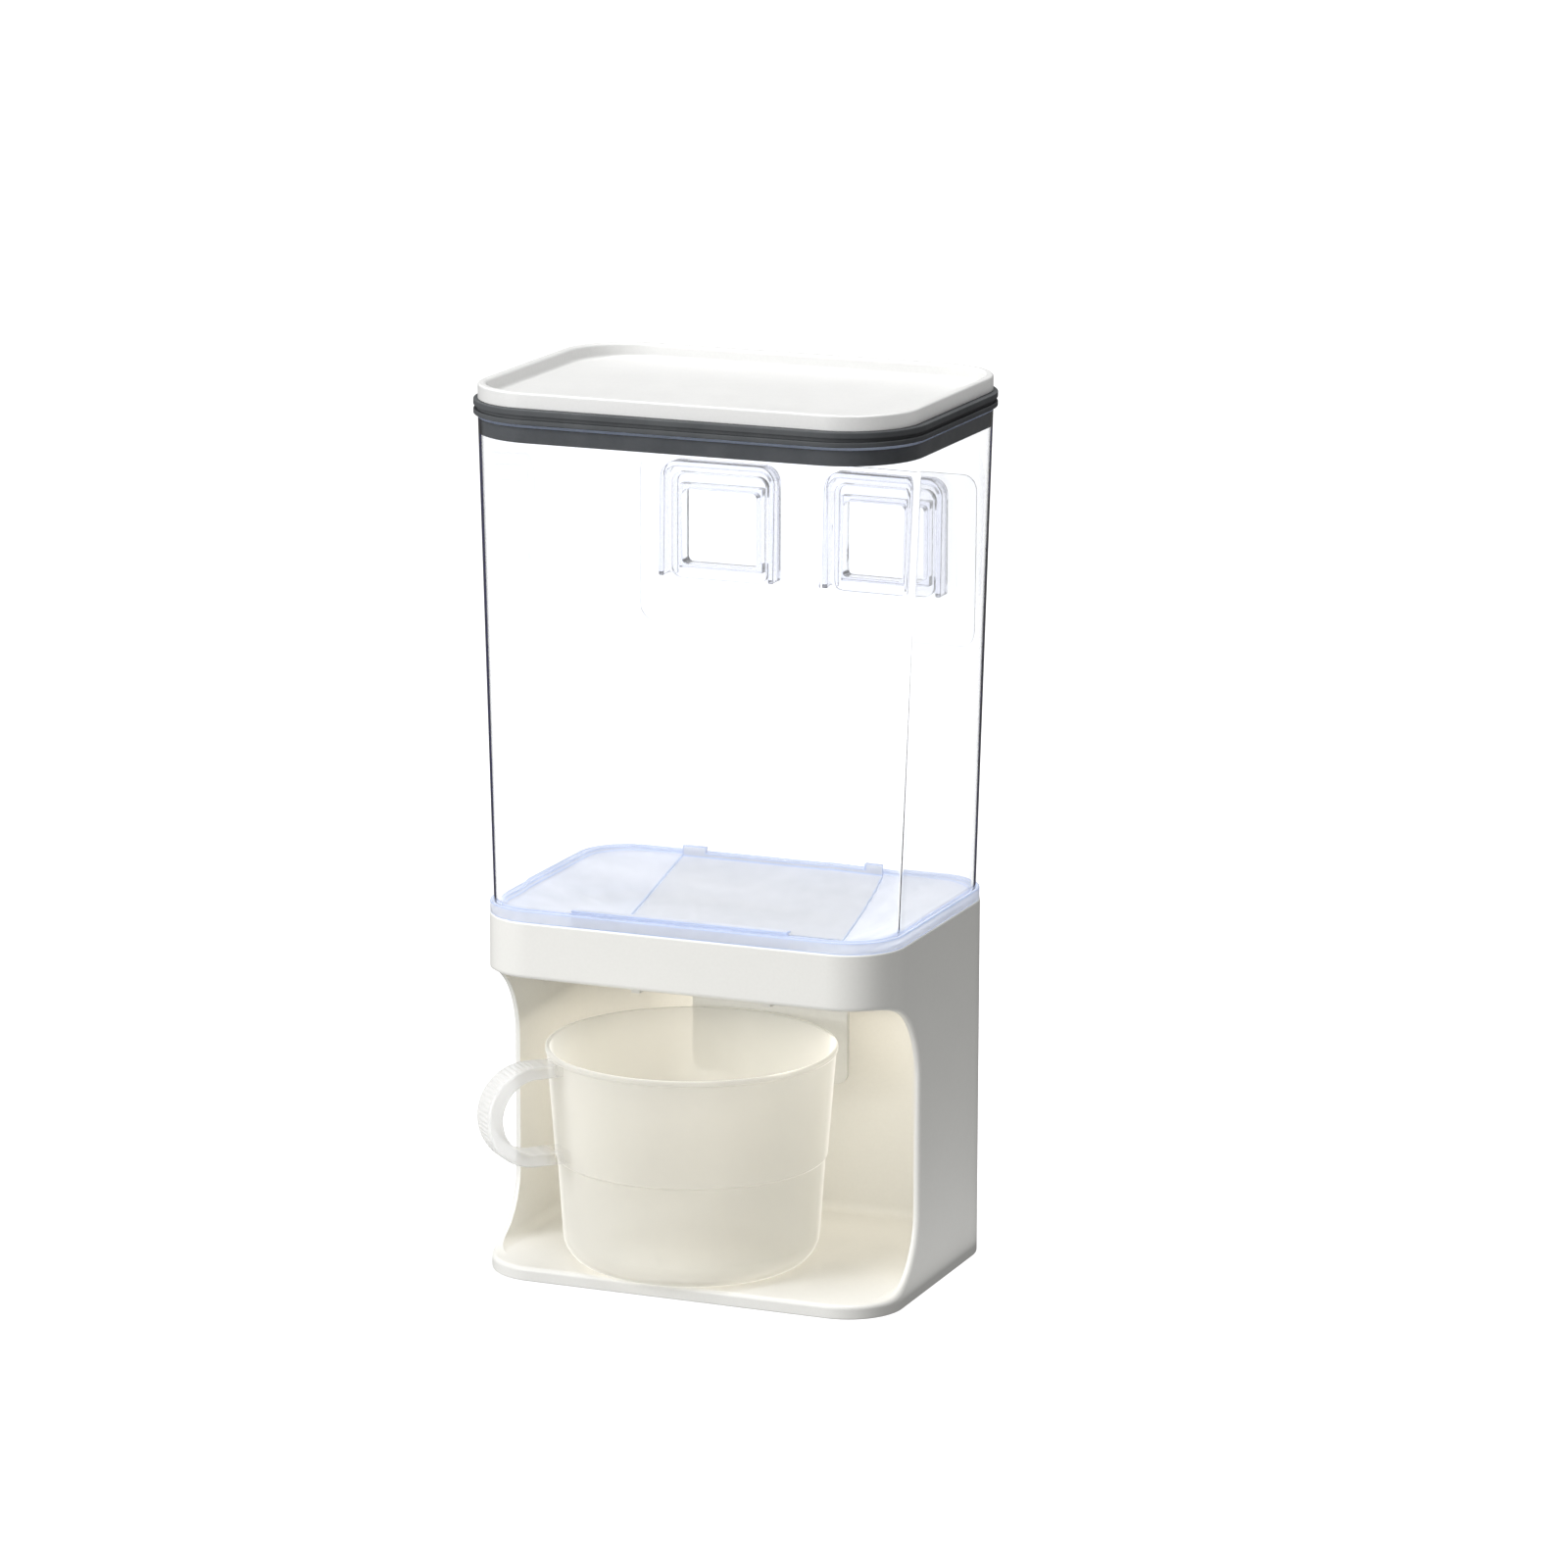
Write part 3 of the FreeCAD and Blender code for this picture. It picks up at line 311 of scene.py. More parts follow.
def clear_plastic(name, tint, density=0.0, milk=0.0, milk_colours=MILK, waviness=0.04, edge=None):
    """Clear moulded plastic: refraction, flow waves and fine scuffs.

    With a density the tint grows with thickness; without one it is the colour of the surface, which suits
    a piece with two materials. milk is the share of cloudy plastic in milk_colours.
    edge is the colour of a painted shade that a round corner takes on where it is seen almost along its
    surface.
    """
    material, n = start_material(name)
    place = n.add("ShaderNodeTexCoord").outputs["Object"]
    scuffs = noise(n, place, 140.0, 8.0, 0.75)
    roughness = spread(n, scuffs, 0.0, 0.05, 0.5, 0.85)
    broad = noise(n, place, 30.0, 1.0)
    bump = n.add("ShaderNodeBump", {"Strength": waviness, "Distance": 0.25 * MM, "Height": broad})
    surface = (1.0, 1.0, 1.0) if density else tint
    colour = (*surface, 1.0)
    if edge:
        # painted shade: the surface darkens towards the edge colour where it is seen almost edge on
        slant = n.add("ShaderNodeLayerWeight", {"Blend": 0.5}).outputs["Facing"]
        factor = spread(n, slant, 0.0, 1.0, *EDGE_FACING)
        split = n.add("ShaderNodeSeparateXYZ", {0: place}).outputs
        for axis, start in CORNER_STARTS.items():
            size = n.add("ShaderNodeMath", {0: split[axis]}, operation="ABSOLUTE").outputs[0]
            within = spread(n, size, 0.0, 1.0, start, start + CORNER_BLEND)
            factor = n.add("ShaderNodeMath", {0: factor, 1: within}, operation="MULTIPLY").outputs[0]
        behind = n.add("ShaderNodeNewGeometry").outputs["Backfacing"]
        front = n.add("ShaderNodeMath", {0: factor, 1: behind}, operation="SUBTRACT", use_clamp=True)
        colour = blend_colour(n, front.outputs[0], surface, edge)
    glass = n.add("ShaderNodeBsdfPrincipled", {"Base Color": colour, "Roughness": roughness,
                                               "IOR": CLEAR_IOR, "Transmission Weight": 1.0,
                                               "Normal": bump.outputs[0]}).outputs[0]
    clear = n.add("ShaderNodeBsdfTransparent", {0: CLEAR_SHADOW}).outputs[0]
    path = n.add("ShaderNodeLightPath").outputs
    light_rays = {0: path["Is Shadow Ray"], 1: path["Is Diffuse Ray"]}
    passing = n.add("ShaderNodeMath", light_rays, operation="MAXIMUM").outputs[0]
    shader = n.add("ShaderNodeMixShader", {0: passing, 1: glass, 2: clear}).outputs[0]
    if milk:
        streaks = n.add("ShaderNodeMapping", {"Vector": place, "Scale": (9.0, 60.0, 9.0)}).outputs[0]
        tone = blend_colour(n, spread(n, noise(n, streaks, 1.0, 4.0), 0.0, 1.0), *milk_colours)
        haze = n.add("ShaderNodeBsdfDiffuse", {"Color": tone}).outputs[0]
        glow = n.add("ShaderNodeBsdfTranslucent", {0: tone}).outputs[0]
        milky = n.add("ShaderNodeMixShader", {0: 0.5, 1: haze, 2: glow}).outputs[0]
        cover = spread(n, noise(n, place, 45.0, 3.0), milk - 0.08, milk + 0.08)
        shader = n.add("ShaderNodeMixShader", {0: cover, 1: shader, 2: milky}).outputs[0]
    output = n.add("ShaderNodeOutputMaterial", {"Surface": shader})
    if density:
        volume = n.add("ShaderNodeVolumeAbsorption", {"Color": (*tint, 1.0), "Density": density})
        n.tree.links.new(volume.outputs[0], output.inputs["Volume"])
    return material


def frosted_plastic(name, colour, through_colour, clear_share, painted_edge_highlight=0.0, melt=None):
    """Translucent milky plastic: it shows a soft part of what is behind, less at a slant.

    through_colour is what light picks up on its way through. The edge highlight argument is the strength of
    a painted highlight, an emission on thin edges seen at a slant.
    melt is a centre and two radii between which the piece fades into the one that it grows out of.
    """
    material, n = start_material(name)
    place = n.add("ShaderNodeTexCoord").outputs["Object"]
    clouds = noise(n, place, 40.0, 3.0)
    tone = blend_colour(n, spread(n, clouds, 0.0, 1.0), tuple(0.96 * c for c in colour), colour)
    marks = noise(n, place, 110.0, 6.0, 0.7)
    roughness = spread(n, marks, 0.31, 0.37)
    fine = noise(n, place, 1500.0, 2.0)
    bump = n.add("ShaderNodeBump", {"Strength": 0.03, "Distance": 0.05 * MM, "Height": fine}).outputs[0]
    slant = n.add("ShaderNodeLayerWeight", {"Blend": 0.35}).outputs["Facing"]
    cover = spread(n, slant, 1.0 - clear_share, 0.95, 0.0, 1.0)
    if melt:
        centre, near, far = melt
        offset = n.add("ShaderNodeVectorMath", {0: place, 1: centre}, operation="SUBTRACT").outputs[0]
        flat = n.add("ShaderNodeVectorMath", {0: offset, 1: (1.0, 1.0, 0.0)}, operation="MULTIPLY")
        radius = n.add("ShaderNodeVectorMath", {0: flat.outputs[0]}, operation="LENGTH").outputs["Value"]
        share = spread(n, radius, MELT_COVER, 1.0, near, far)
        cover = n.add("ShaderNodeMath", {0: cover, 1: share}, operation="MULTIPLY").outputs[0]
    # painted highlight: thin edges seen at a slant give off light, though no lamp is there
    painted_highlight = spread(n, slant, 0.0, painted_edge_highlight, *HIGHLIGHT_FACING)
    matt = n.add("ShaderNodeBsdfPrincipled", {"Base Color": tone, "Roughness": roughness,
                                              "IOR": FROSTED_IOR, "Alpha": cover, "Normal": bump,
                                              "Emission Color": (1.0, 1.0, 1.0, 1.0),
                                              "Emission Strength": painted_highlight}).outputs[0]
    glow = n.add("ShaderNodeBsdfTranslucent", {0: (*through_colour, 1.0), "Normal": bump}).outputs[0]
    clear = n.add("ShaderNodeBsdfTransparent").outputs[0]
    through = n.add("ShaderNodeMixShader", {0: cover, 1: clear, 2: glow}).outputs[0]
    mix = n.add("ShaderNodeMixShader", {0: 0.4, 1: matt, 2: through})
    n.add("ShaderNodeOutputMaterial", {"Surface": mix.outputs[0]})
    return material


def rubber(name, light, dark, rough, gloss=0.4):
    """Matt silicone: cloudy colour and a fine dusty surface."""
    material, n = start_material(name)
    place = n.add("ShaderNodeTexCoord").outputs["Object"]
    clouds = noise(n, place, 70.0, 6.0, 0.65)
    colour = blend_colour(n, spread(n, clouds, 0.0, 1.0), dark, light)
    dust = noise(n, place, 500.0, 4.0, 0.8)
    roughness = spread(n, dust, rough - 0.06, rough + 0.1)
    bump = n.add("ShaderNodeBump", {"Strength": 0.25, "Distance": 0.06 * MM, "Height": dust})
    shader = n.add("ShaderNodeBsdfPrincipled", {"Base Color": colour, "Roughness": roughness,
                                                "IOR": RUBBER_IOR, "Specular IOR Level": gloss,
                                                "Normal": bump.outputs[0]})
    n.add("ShaderNodeOutputMaterial", {"Surface": shader.outputs[0]})
    return material


def bright_steel(name):
    """Drawn steel with fine lines along X."""
    material, n = start_material(name)
    place = n.add("ShaderNodeTexCoord").outputs["Object"]
    stretch = n.add("ShaderNodeMapping", {"Vector": place, "Scale": (60.0, 1200.0, 1200.0)}).outputs[0]
    lines = noise(n, stretch, 1.0, 4.0, 0.6)
    colour = blend_colour(n, spread(n, lines, 0.0, 1.0), (0.46, 0.47, 0.48), (0.66, 0.66, 0.65))
    roughness = spread(n, lines, 0.2, 0.38)
    bump = n.add("ShaderNodeBump", {"Strength": 0.1, "Distance": 0.02 * MM, "Height": lines})
    shader = n.add("ShaderNodeBsdfPrincipled", {"Base Color": colour, "Metallic": 1.0,
                                                "Roughness": roughness, "Normal": bump.outputs[0]})
    n.add("ShaderNodeOutputMaterial", {"Surface": shader.outputs[0]})
    return material


# ---- mesh helpers ----
RING_MERGE, CAD_MERGE = 0.001 * MM, 0.002 * MM
FLAT_ANGLE, SHARP_ANGLE = math.radians(1.0), math.radians(35)
NORMAL_WEIGHT = 60


def round_rectangle(width, depth, radius, z, steps=16):
    """Points round a rectangle with round corners, centred on the Z axis."""
    points = []
    for corner, (sx, sy) in enumerate(((1, 1), (-1, 1), (-1, -1), (1, -1))):
        centre = Vector((sx * (width / 2 - radius), sy * (depth / 2 - radius), z))
        for i in range(steps + 1):
            turn = math.pi / 2 * (corner + i / steps)
            points.append(centre + radius * Vector((math.cos(turn), math.sin(turn), 0)))
    return points


def circle(radius, z, steps=96):
    """Points of a circle round the Z axis."""
    turns = [2 * math.pi * i / steps for i in range(steps)]
    return [Vector((radius * math.cos(t), radius * math.sin(t), z)) for t in turns]


def rounded_path(corners, closed=False, steps=4):
    """Replace each (across, z, fillet, ...) corner of a path by an arc; further values are kept."""
    path = []
    count = len(corners)
    for i, (across, z, fillet, *rest) in enumerate(corners):
        here = Vector((across, z))
        if fillet <= 0 or (not closed and i in (0, count - 1)):
            path.append((across, z, *rest))
            continue
        before, after = Vector(corners[i - 1][:2]), Vector(corners[(i + 1) % count][:2])
        to_before, to_after = (before - here).normalized(), (after - here).normalized()
        half = to_before.angle(to_after) / 2
        reach = fillet / math.tan(half)
        centre = here + (to_before + to_after).normalized() * (fillet / math.sin(half))
        start, end = here + to_before * reach - centre, here + to_after * reach - centre
        first, last = math.atan2(start.y, start.x), math.atan2(end.y, end.x)
        sweep = (last - first + math.pi) % (2 * math.pi) - math.pi
        for k in range(steps + 1):
            turn = first + sweep * k / steps
            path.append((centre.x + fillet * math.cos(turn), centre.y + fillet * math.sin(turn), *rest))
    return path


def new_piece(name, mesh):
    """Smooth shaded object whose large faces set the normals, so that they read as flat."""
    mesh.shade_smooth()
    obj = bpy.data.objects.new(name, mesh)
    bpy.context.scene.collection.objects.link(obj)
    even = obj.modifiers.new("even_normals", "WEIGHTED_NORMAL")
    even.weight = NORMAL_WEIGHT
    return obj


def skin(name, rings, closed=False):
    """Join rings of equal length into one closed surface: end to end, or with a cap at each end."""
    size = len(rings[0])
    points = [tuple(p) for ring in rings for p in ring]
    faces = []
    last = len(rings) if closed else len(rings) - 1
    for r in range(last):
        a, b = r * size, ((r + 1) % len(rings)) * size
        for i in range(size):
            k = (i + 1) % size
            faces.append((a + i, a + k, b + k, b + i))
    if not closed:
        faces.append(tuple(range(size)))
        faces.append(tuple(range(len(points) - size, len(points))))
    mesh = bpy.data.meshes.new(name)
    mesh.from_pydata(points, [], faces)
    bm = bmesh.new()
    bm.from_mesh(mesh)
    bmesh.ops.remove_doubles(bm, verts=bm.verts, dist=RING_MERGE)
    bmesh.ops.recalc_face_normals(bm, faces=bm.faces)
    bm.to_mesh(mesh)
    bm.free()
    return new_piece(name, mesh)


def finish_piece(obj, body, slot, material, *nodes):
    """Material, body to ride on, material slot of the frame (not used) and the CAD nodes that the piece
    stands for.
    """
    obj.data.materials.clear()
    obj.data.materials.append(material)
    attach(obj, body)
    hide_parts(*nodes)
    return obj


def soft_copy(node, width, segments=3, move=None, edge_slot=-1):
    """Copy of a CAD node with its sharp edges rounded; move may shift single points.

    edge_slot is the material slot that the rounded edges take.
    """
    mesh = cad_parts[node].data.copy()
    bm = bmesh.new()
    bm.from_mesh(mesh)
    bmesh.ops.remove_doubles(bm, verts=bm.verts, dist=CAD_MERGE)
    bmesh.ops.dissolve_limit(bm, angle_limit=FLAT_ANGLE, verts=bm.verts, edges=bm.edges)
    bmesh.ops.recalc_face_normals(bm, faces=bm.faces)
    if move:
        for vertex in bm.verts:
            vertex.co = move(vertex.co)
    bm.to_mesh(mesh)
    bm.free()
    obj = new_piece(node + "_piece", mesh)
    bevel = obj.modifiers.new("soft_edges", "BEVEL")
    bevel.width, bevel.segments = width, segments
    bevel.limit_method, bevel.angle_limit = "ANGLE", SHARP_ANGLE
    bevel.material = edge_slot
    obj.modifiers.move(1, 0)
    return obj


# ---- container with its sockets ----
box_low, box_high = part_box("container_body")
RIM_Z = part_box("hopper_frame")[1].z
BOX_FOOT_W, BOX_FOOT_D = 147.0 * MM, 104.0 * MM
BOX_FOOT_R, BOX_TOP_R = 18.5 * MM, 27.0 * MM
BOX_WALL = 2.3 * MM
BOX_TOP_SOFT, BOX_FOOT_SOFT = 0.9 * MM, 0.3 * MM
INSIDE_SLOT, RIM_SLOT = 1, 2
JOIN, GLUE_LAP = 0.35 * MM, 0.2 * MM
NEAR_WALL, NEAR_SHEET = 0.1 * MM, 0.01 * MM
SOCKET_SOFT, HOOK_SOFT, SHEET_SOFT, GLUE_SOFT = 0.45 * MM, 0.4 * MM, 0.12 * MM, 0.05 * MM


def container_outline(z):
    """Outer width, depth and corner radius of the drafted container at height z."""
    share = (z - RIM_Z) / (box_high.z - RIM_Z)
    width = BOX_FOOT_W + share * (box_high.x - box_low.x - BOX_FOOT_W)
    depth = BOX_FOOT_D + share * (box_high.y - box_low.y - BOX_FOOT_D)
    return width, depth, BOX_FOOT_R + share * (BOX_TOP_R - BOX_FOOT_R)


def make_container(material, inside, rim):
    """Open box of one wall thickness. Its inward faces and its top edge have materials of their own."""
    low, high = box_low.z, box_high.z
    profile = [(0, low, BOX_FOOT_SOFT), (0, high, BOX_TOP_SOFT),
               (BOX_WALL, high, BOX_TOP_SOFT), (BOX_WALL, low, BOX_FOOT_SOFT)]
    rings = []
    for inset, z in rounded_path(profile, True):
        width, depth, radius = container_outline(z)
        rings.append(round_rectangle(width - 2 * inset, depth - 2 * inset, radius - inset, z))
    piece = skin("container_piece", rings, True)
    finish_piece(piece, "container", "clear_plastic", material, "container_body")
    piece.data.materials.append(inside)     # INSIDE_SLOT
    piece.data.materials.append(rim)        # RIM_SLOT
    for face in piece.data.polygons:
        if face.center.z > high - BOX_TOP_SOFT:
            face.material_index = RIM_SLOT
        elif face.normal.xy.dot(face.center.xy) < 0:
            face.material_index = INSIDE_SLOT


def make_sockets(material):
    """The sockets' front faces run a little into the container's wall, so the two read as one moulding."""
    def into_wall(point):
        back = container_outline(point.z)[1] / 2
        return point - Vector((0, JOIN, 0)) if point.y < back + NEAR_WALL else point

    for side in ("left", "right"):
        node = "hook_socket_" + side
        piece = soft_copy(node, SOCKET_SOFT, 3, into_wall)
        finish_piece(piece, "container", "clear_plastic", material, node)


def make_wall_plate(clear, film):
    """The hooks run a little into the sheet, and the adhesive layer laps into it too."""
    sheet_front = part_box("wall_sheet")[0].y
    glue_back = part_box("adhesive_film")[1].y

    def into_sheet(point):
        return point + Vector((0, JOIN, 0)) if point.y > sheet_front - NEAR_SHEET else point

    def into_glue(point):
        return point - Vector((0, GLUE_LAP, 0)) if point.y < glue_back - NEAR_WALL else point

    for side in ("left", "right"):
        node = "wall_hook_" + side
        piece = soft_copy(node, HOOK_SOFT, 3, into_sheet)
        finish_piece(piece, "wall_plate", "clear_plastic", clear, node)
    sheet = soft_copy("wall_sheet", SHEET_SOFT, 2)
    finish_piece(sheet, "wall_plate", "clear_film", film, "wall_sheet")
    glue = soft_copy("adhesive_film", GLUE_SOFT, 1, into_glue)
    finish_piece(glue, "wall_plate", "clear_film", film, "adhesive_film")


# ---- lid ----
LID_R = 24.0 * MM
TRAY_RIM, TRAY_FLOOR_T, PLUG_WALL = 3.0 * MM, 2.3 * MM, 1.8 * MM
SEAL_BAND_T, SEAL_GAP, SEAL_OUT, PLUG_GAP, SEAL_PRESS = 2.2 * MM, 0.3 * MM, 1.5 * MM, 0.25 * MM, 0.08 * MM
TRAY_DEPTH, TRAY_SOFT, TRAY_RIM_SOFT = 4.95 * MM, 1.2 * MM, (1.1 * MM, 0.7 * MM)
SKIRT_SOFT, SKIRT_LEDGE, SKIRT_UNDERCUT = 0.4 * MM, 4.2 * MM, 0.2 * MM
PLUG_EDGE_SOFT, PLUG_CORNER_SOFT, LINER_SOFT = 0.6 * MM, 0.8 * MM, 0.5 * MM
DISH = 20 * MM            # how far in the flat middle's own cap begins
SEAL_SOFT, SEAL_TUCK_SOFT, GROOVE_SOFT, GROOVE = 0.4 * MM, 0.3 * MM, 0.15 * MM, 1.25 * MM
GROOVE_SHARES = (0.34, 0.58)          # of the band's height
# the band's gap over the container's edge, the step below that edge, and the neck between the bands
SEAL_REST, SEAL_TUCK, SEAL_NECK_T = 0.2 * MM, 1.1 * MM, 0.4 * MM


def rings_from(path):
    """Rings of round rectangles from (inset, z, width, depth, radius) steps."""
    return [round_rectangle(w - 2 * i, d - 2 * i, r - i, z) for i, z, w, d, r in path]


def make_lid(material):
    """Tray on top, skirt round it and an open plug below, with the liner that closes the plug."""
    low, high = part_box("lid_shell")
    lid = (high.x - low.x, high.y - low.y, LID_R)
    top_w, top_d, top_r = container_outline(box_high.z)
    inset = BOX_WALL + SEAL_GAP + SEAL_BAND_T + PLUG_GAP
    plug = (top_w - 2 * inset, top_d - 2 * inset, top_r - inset)
    tray_z, under_z = high.z - TRAY_DEPTH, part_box("lid_seal")[1].z
    rim_in_soft, rim_out_soft = TRAY_RIM_SOFT
    corners = [
        (DISH, tray_z, 0, *lid),
        (TRAY_RIM, tray_z, TRAY_SOFT, *lid),
        (TRAY_RIM, high.z, rim_in_soft, *lid),
        (0, high.z, rim_out_soft, *lid),
        (0, under_z, SKIRT_SOFT, *lid),
        (SKIRT_LEDGE, under_z, 0, *lid),
        (0, under_z - SKIRT_UNDERCUT, 0, *plug),
        (0, low.z, PLUG_EDGE_SOFT, *plug),
        (PLUG_WALL, low.z, PLUG_EDGE_SOFT, *plug),
        (PLUG_WALL, tray_z - TRAY_FLOOR_T, PLUG_CORNER_SOFT, *plug),
        (DISH, tray_z - TRAY_FLOOR_T, 0, *plug),
    ]
    path = rounded_path(corners, steps=5)
    finish_piece(skin("lid_top", rings_from(path)), "lid", "white_plastic", material, "lid_shell")
    liner = soft_copy("lid_liner", LINER_SOFT)
    finish_piece(liner, "lid", "white_plastic", material, "lid_liner")


def make_seal(material):
    """Outer band with a groove round it, joined over the container's edge to a band inside it."""
    low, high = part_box("lid_seal")
    top_z = box_high.z
    width, depth, radius = container_outline(top_z)
    out = (width + 2 * SEAL_OUT, depth + 2 * SEAL_OUT, radius + SEAL_OUT)
    inset = BOX_WALL - SEAL_PRESS + SEAL_OUT
    band_low, tuck_z = top_z + SEAL_REST, top_z - SEAL_TUCK
    back = BOX_WALL + SEAL_GAP + SEAL_OUT + SEAL_BAND_T
    height = high.z - band_low
    groove_low, groove_high = [band_low + share * height for share in GROOVE_SHARES]
    neck = back - SEAL_NECK_T
    corners = [
        (0, band_low, SEAL_SOFT), (0, groove_low, SEAL_SOFT),
        (GROOVE, groove_low, GROOVE_SOFT), (GROOVE, groove_high, GROOVE_SOFT),
        (0, groove_high, SEAL_SOFT), (0, high.z, SEAL_SOFT),
        (back, high.z, SEAL_SOFT), (back, low.z, SEAL_SOFT),
        (inset, low.z, SEAL_SOFT), (inset, tuck_z, SEAL_TUCK_SOFT),
        (neck, tuck_z, SEAL_TUCK_SOFT), (neck, band_low, GROOVE_SOFT),
    ]
    path = [(i, z, *out) for i, z in rounded_path(corners, True)]
    finish_piece(skin("seal_ring", rings_from(path), True), "lid", "slate_silicone", material, "lid_seal")


# ---- measuring cup ----
CUP_FOOT_R, CUP_STEP_R, CUP_RIM_R = 43.4 * MM, 46.6 * MM, 49.9 * MM
CUP_STEP_Z, CUP_EDGE_R, CUP_WALL = 42.0 * MM, 10.0 * MM, 1.6 * MM
HANDLE_TURN, HANDLE_REACH = 46.0, 76.7 * MM
HANDLE_T, HANDLE_W, ROOT_DEPTH = 4.4 * MM, 11.6 * MM, 0.45 * MM
BEND_EXTRA = 1.3 * MM     # how much thicker the strap is in the middle of its bend
RIB_PITCH, RIB_H, RIB_BORDER, RIB_SLOPE = 1.7 * MM, 0.22 * MM, 1.2 * MM, 0.35 * MM
RIB_FULLNESS = 1.6        # over 1 it gives the ribs flat tops
HANDLE_SOFT, STEPS_PER_RIB = 0.8 * MM, 6
HOLLOW_R, HOLLOW_H, FOOT_SOFT = 30 * MM, 0.6 * MM, 0.5 * MM     # the hollow in the cup's underside
HOLLOW_SLOPE, CENTRE_R = 1 * MM, 2 * MM
STEP_IN, STEP_H, STEP_SOFT, STEP_INNER_SOFT = 0.7 * MM, 0.8 * MM, 0.3 * MM, 0.5 * MM
LIP, LIP_LOW, LIP_HIGH = 0.5 * MM, 2.2 * MM, 1.6 * MM
LIP_LOW_SOFT, LIP_HIGH_SOFT, CUP_RIM_SOFT = 0.8 * MM, 0.5 * MM, 0.7 * MM


def cup_place():
    """The cup's axis on the ground, and the heights of its foot and rim."""
    low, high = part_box("cup_body")
    return Vector(((low.x + high.x) / 2, (low.y + high.y) / 2, 0)), low.z, high.z


def make_cup(material):
    """Turned shell: up its outside from the hollow underside, over the rim and down its inside."""
    centre, foot_z, rim_z = cup_place()
    floor_z, under_z, step_top = foot_z + CUP_WALL, foot_z + HOLLOW_H, CUP_STEP_Z + STEP_H
    corners = [
        (CENTRE_R, under_z, 0),
        (HOLLOW_R - HOLLOW_SLOPE, under_z, FOOT_SOFT),
        (HOLLOW_R, foot_z, FOOT_SOFT),
        (CUP_FOOT_R, foot_z, CUP_EDGE_R),
        (CUP_STEP_R - STEP_IN, CUP_STEP_Z, STEP_SOFT),
        (CUP_STEP_R, step_top, STEP_SOFT),
        (CUP_RIM_R - LIP, rim_z - LIP_LOW, LIP_LOW_SOFT),
        (CUP_RIM_R, rim_z - LIP_HIGH, LIP_HIGH_SOFT),
        (CUP_RIM_R, rim_z, CUP_RIM_SOFT),
        (CUP_RIM_R - CUP_WALL, rim_z, CUP_RIM_SOFT),
        (CUP_STEP_R - CUP_WALL, step_top, STEP_INNER_SOFT),
        (CUP_STEP_R - STEP_IN - CUP_WALL, CUP_STEP_Z, STEP_INNER_SOFT),
        (CUP_FOOT_R - CUP_WALL, floor_z, CUP_EDGE_R - CUP_WALL),
        (CENTRE_R, floor_z, 0),
    ]
    rings = []
    for radius, z in rounded_path(corners, steps=8):
        rings.append([point + centre for point in circle(radius, z)])
    finish_piece(skin("cup", rings), "cup", "frosted_plastic", material, "cup_body")


def cup_radius(z):
    """Outer radius of the cup's upper part at height z."""
    share = (z - CUP_STEP_Z) / (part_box("cup_body")[1].z - CUP_STEP_Z)
    return CUP_STEP_R + share * (CUP_RIM_R - CUP_STEP_R)


def handle_line():
    """Middle line of the handle's outer face in its own plane: (out, z, normal, way round the bend)."""
    low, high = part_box("cup_handle")
    top, bottom = high.z - RIB_H, low.z + RIB_H
    radius = (top - bottom) / 2
    middle_z, bend_x = (top + bottom) / 2, HANDLE_REACH - RIB_H - radius
    root_top, root_low = cup_radius(top) - ROOT_DEPTH, cup_radius(bottom) - ROOT_DEPTH
    pitch = RIB_PITCH / STEPS_PER_RIB
    line = []
    count = max(2, int((bend_x - root_top) / pitch))
    for i in range(count):
        line.append((root_top + (bend_x - root_top) * i / count, top, Vector((0, 0, 1)), None))
    count = int(math.pi * radius / pitch)
    for i in range(count + 1):
        turn = math.pi / 2 - math.pi * i / count
        out = Vector((math.cos(turn), 0, math.sin(turn)))
        run = math.pi * radius * i / count
        line.append((bend_x + radius * out.x, middle_z + radius * out.z, out, run))
    count = max(2, int((bend_x - root_low) / pitch))
    for i in range(1, count + 1):
        line.append((bend_x - (bend_x - root_low) * i / count, bottom, Vector((0, 0, -1)), None))
    return line


def make_handle(material):
    """Strap with a soft rectangular section; its outer face carries fine cross ribs round the bend."""
    centre = cup_place()[0]
    turn = Matrix.Rotation(math.radians(180 + HANDLE_TURN), 3, "Z")
    half, soft = HANDLE_W / 2, HANDLE_SOFT
    section = rounded_path([(half, 0, soft), (-half, 0, soft), (-half, RIB_H - HANDLE_T, soft),
                            (half, RIB_H - HANDLE_T, soft)], True, 3)
    edge, inner = half - RIB_BORDER, half - RIB_BORDER - RIB_SLOPE
    face = [(edge, 0), (inner, 0), (-inner, 0), (-edge, 0)]
    section = section[:4] + face + section[4:]      # face goes after the first corner's four points
    ribbed = (5, 6)                                 # where face's two inner points end up
    rings = []
    line = handle_line()
    bend = max(run for x, z, out, run in line if run is not None)
    for x, z, out, run in line:
        ring = []
        extra = BEND_EXTRA * math.sin(math.pi * run / bend) if run else 0.0
        for k, (across, depth) in enumerate(section):
            lift = 0.0
            if run is not None and k in ribbed:
                wave = 0.5 + 0.5 * math.cos(2 * math.pi * run / RIB_PITCH)
                lift = RIB_H * min(1.0, RIB_FULLNESS * wave)
            elif depth < -HANDLE_T / 2:
                lift = -extra
            point = Vector((x, across, z)) + out * (depth + lift)
            ring.append(turn @ point + centre)
        rings.append(ring)
    finish_piece(skin("cup_strap", rings), "cup", "frosted_plastic", material, "cup_handle")


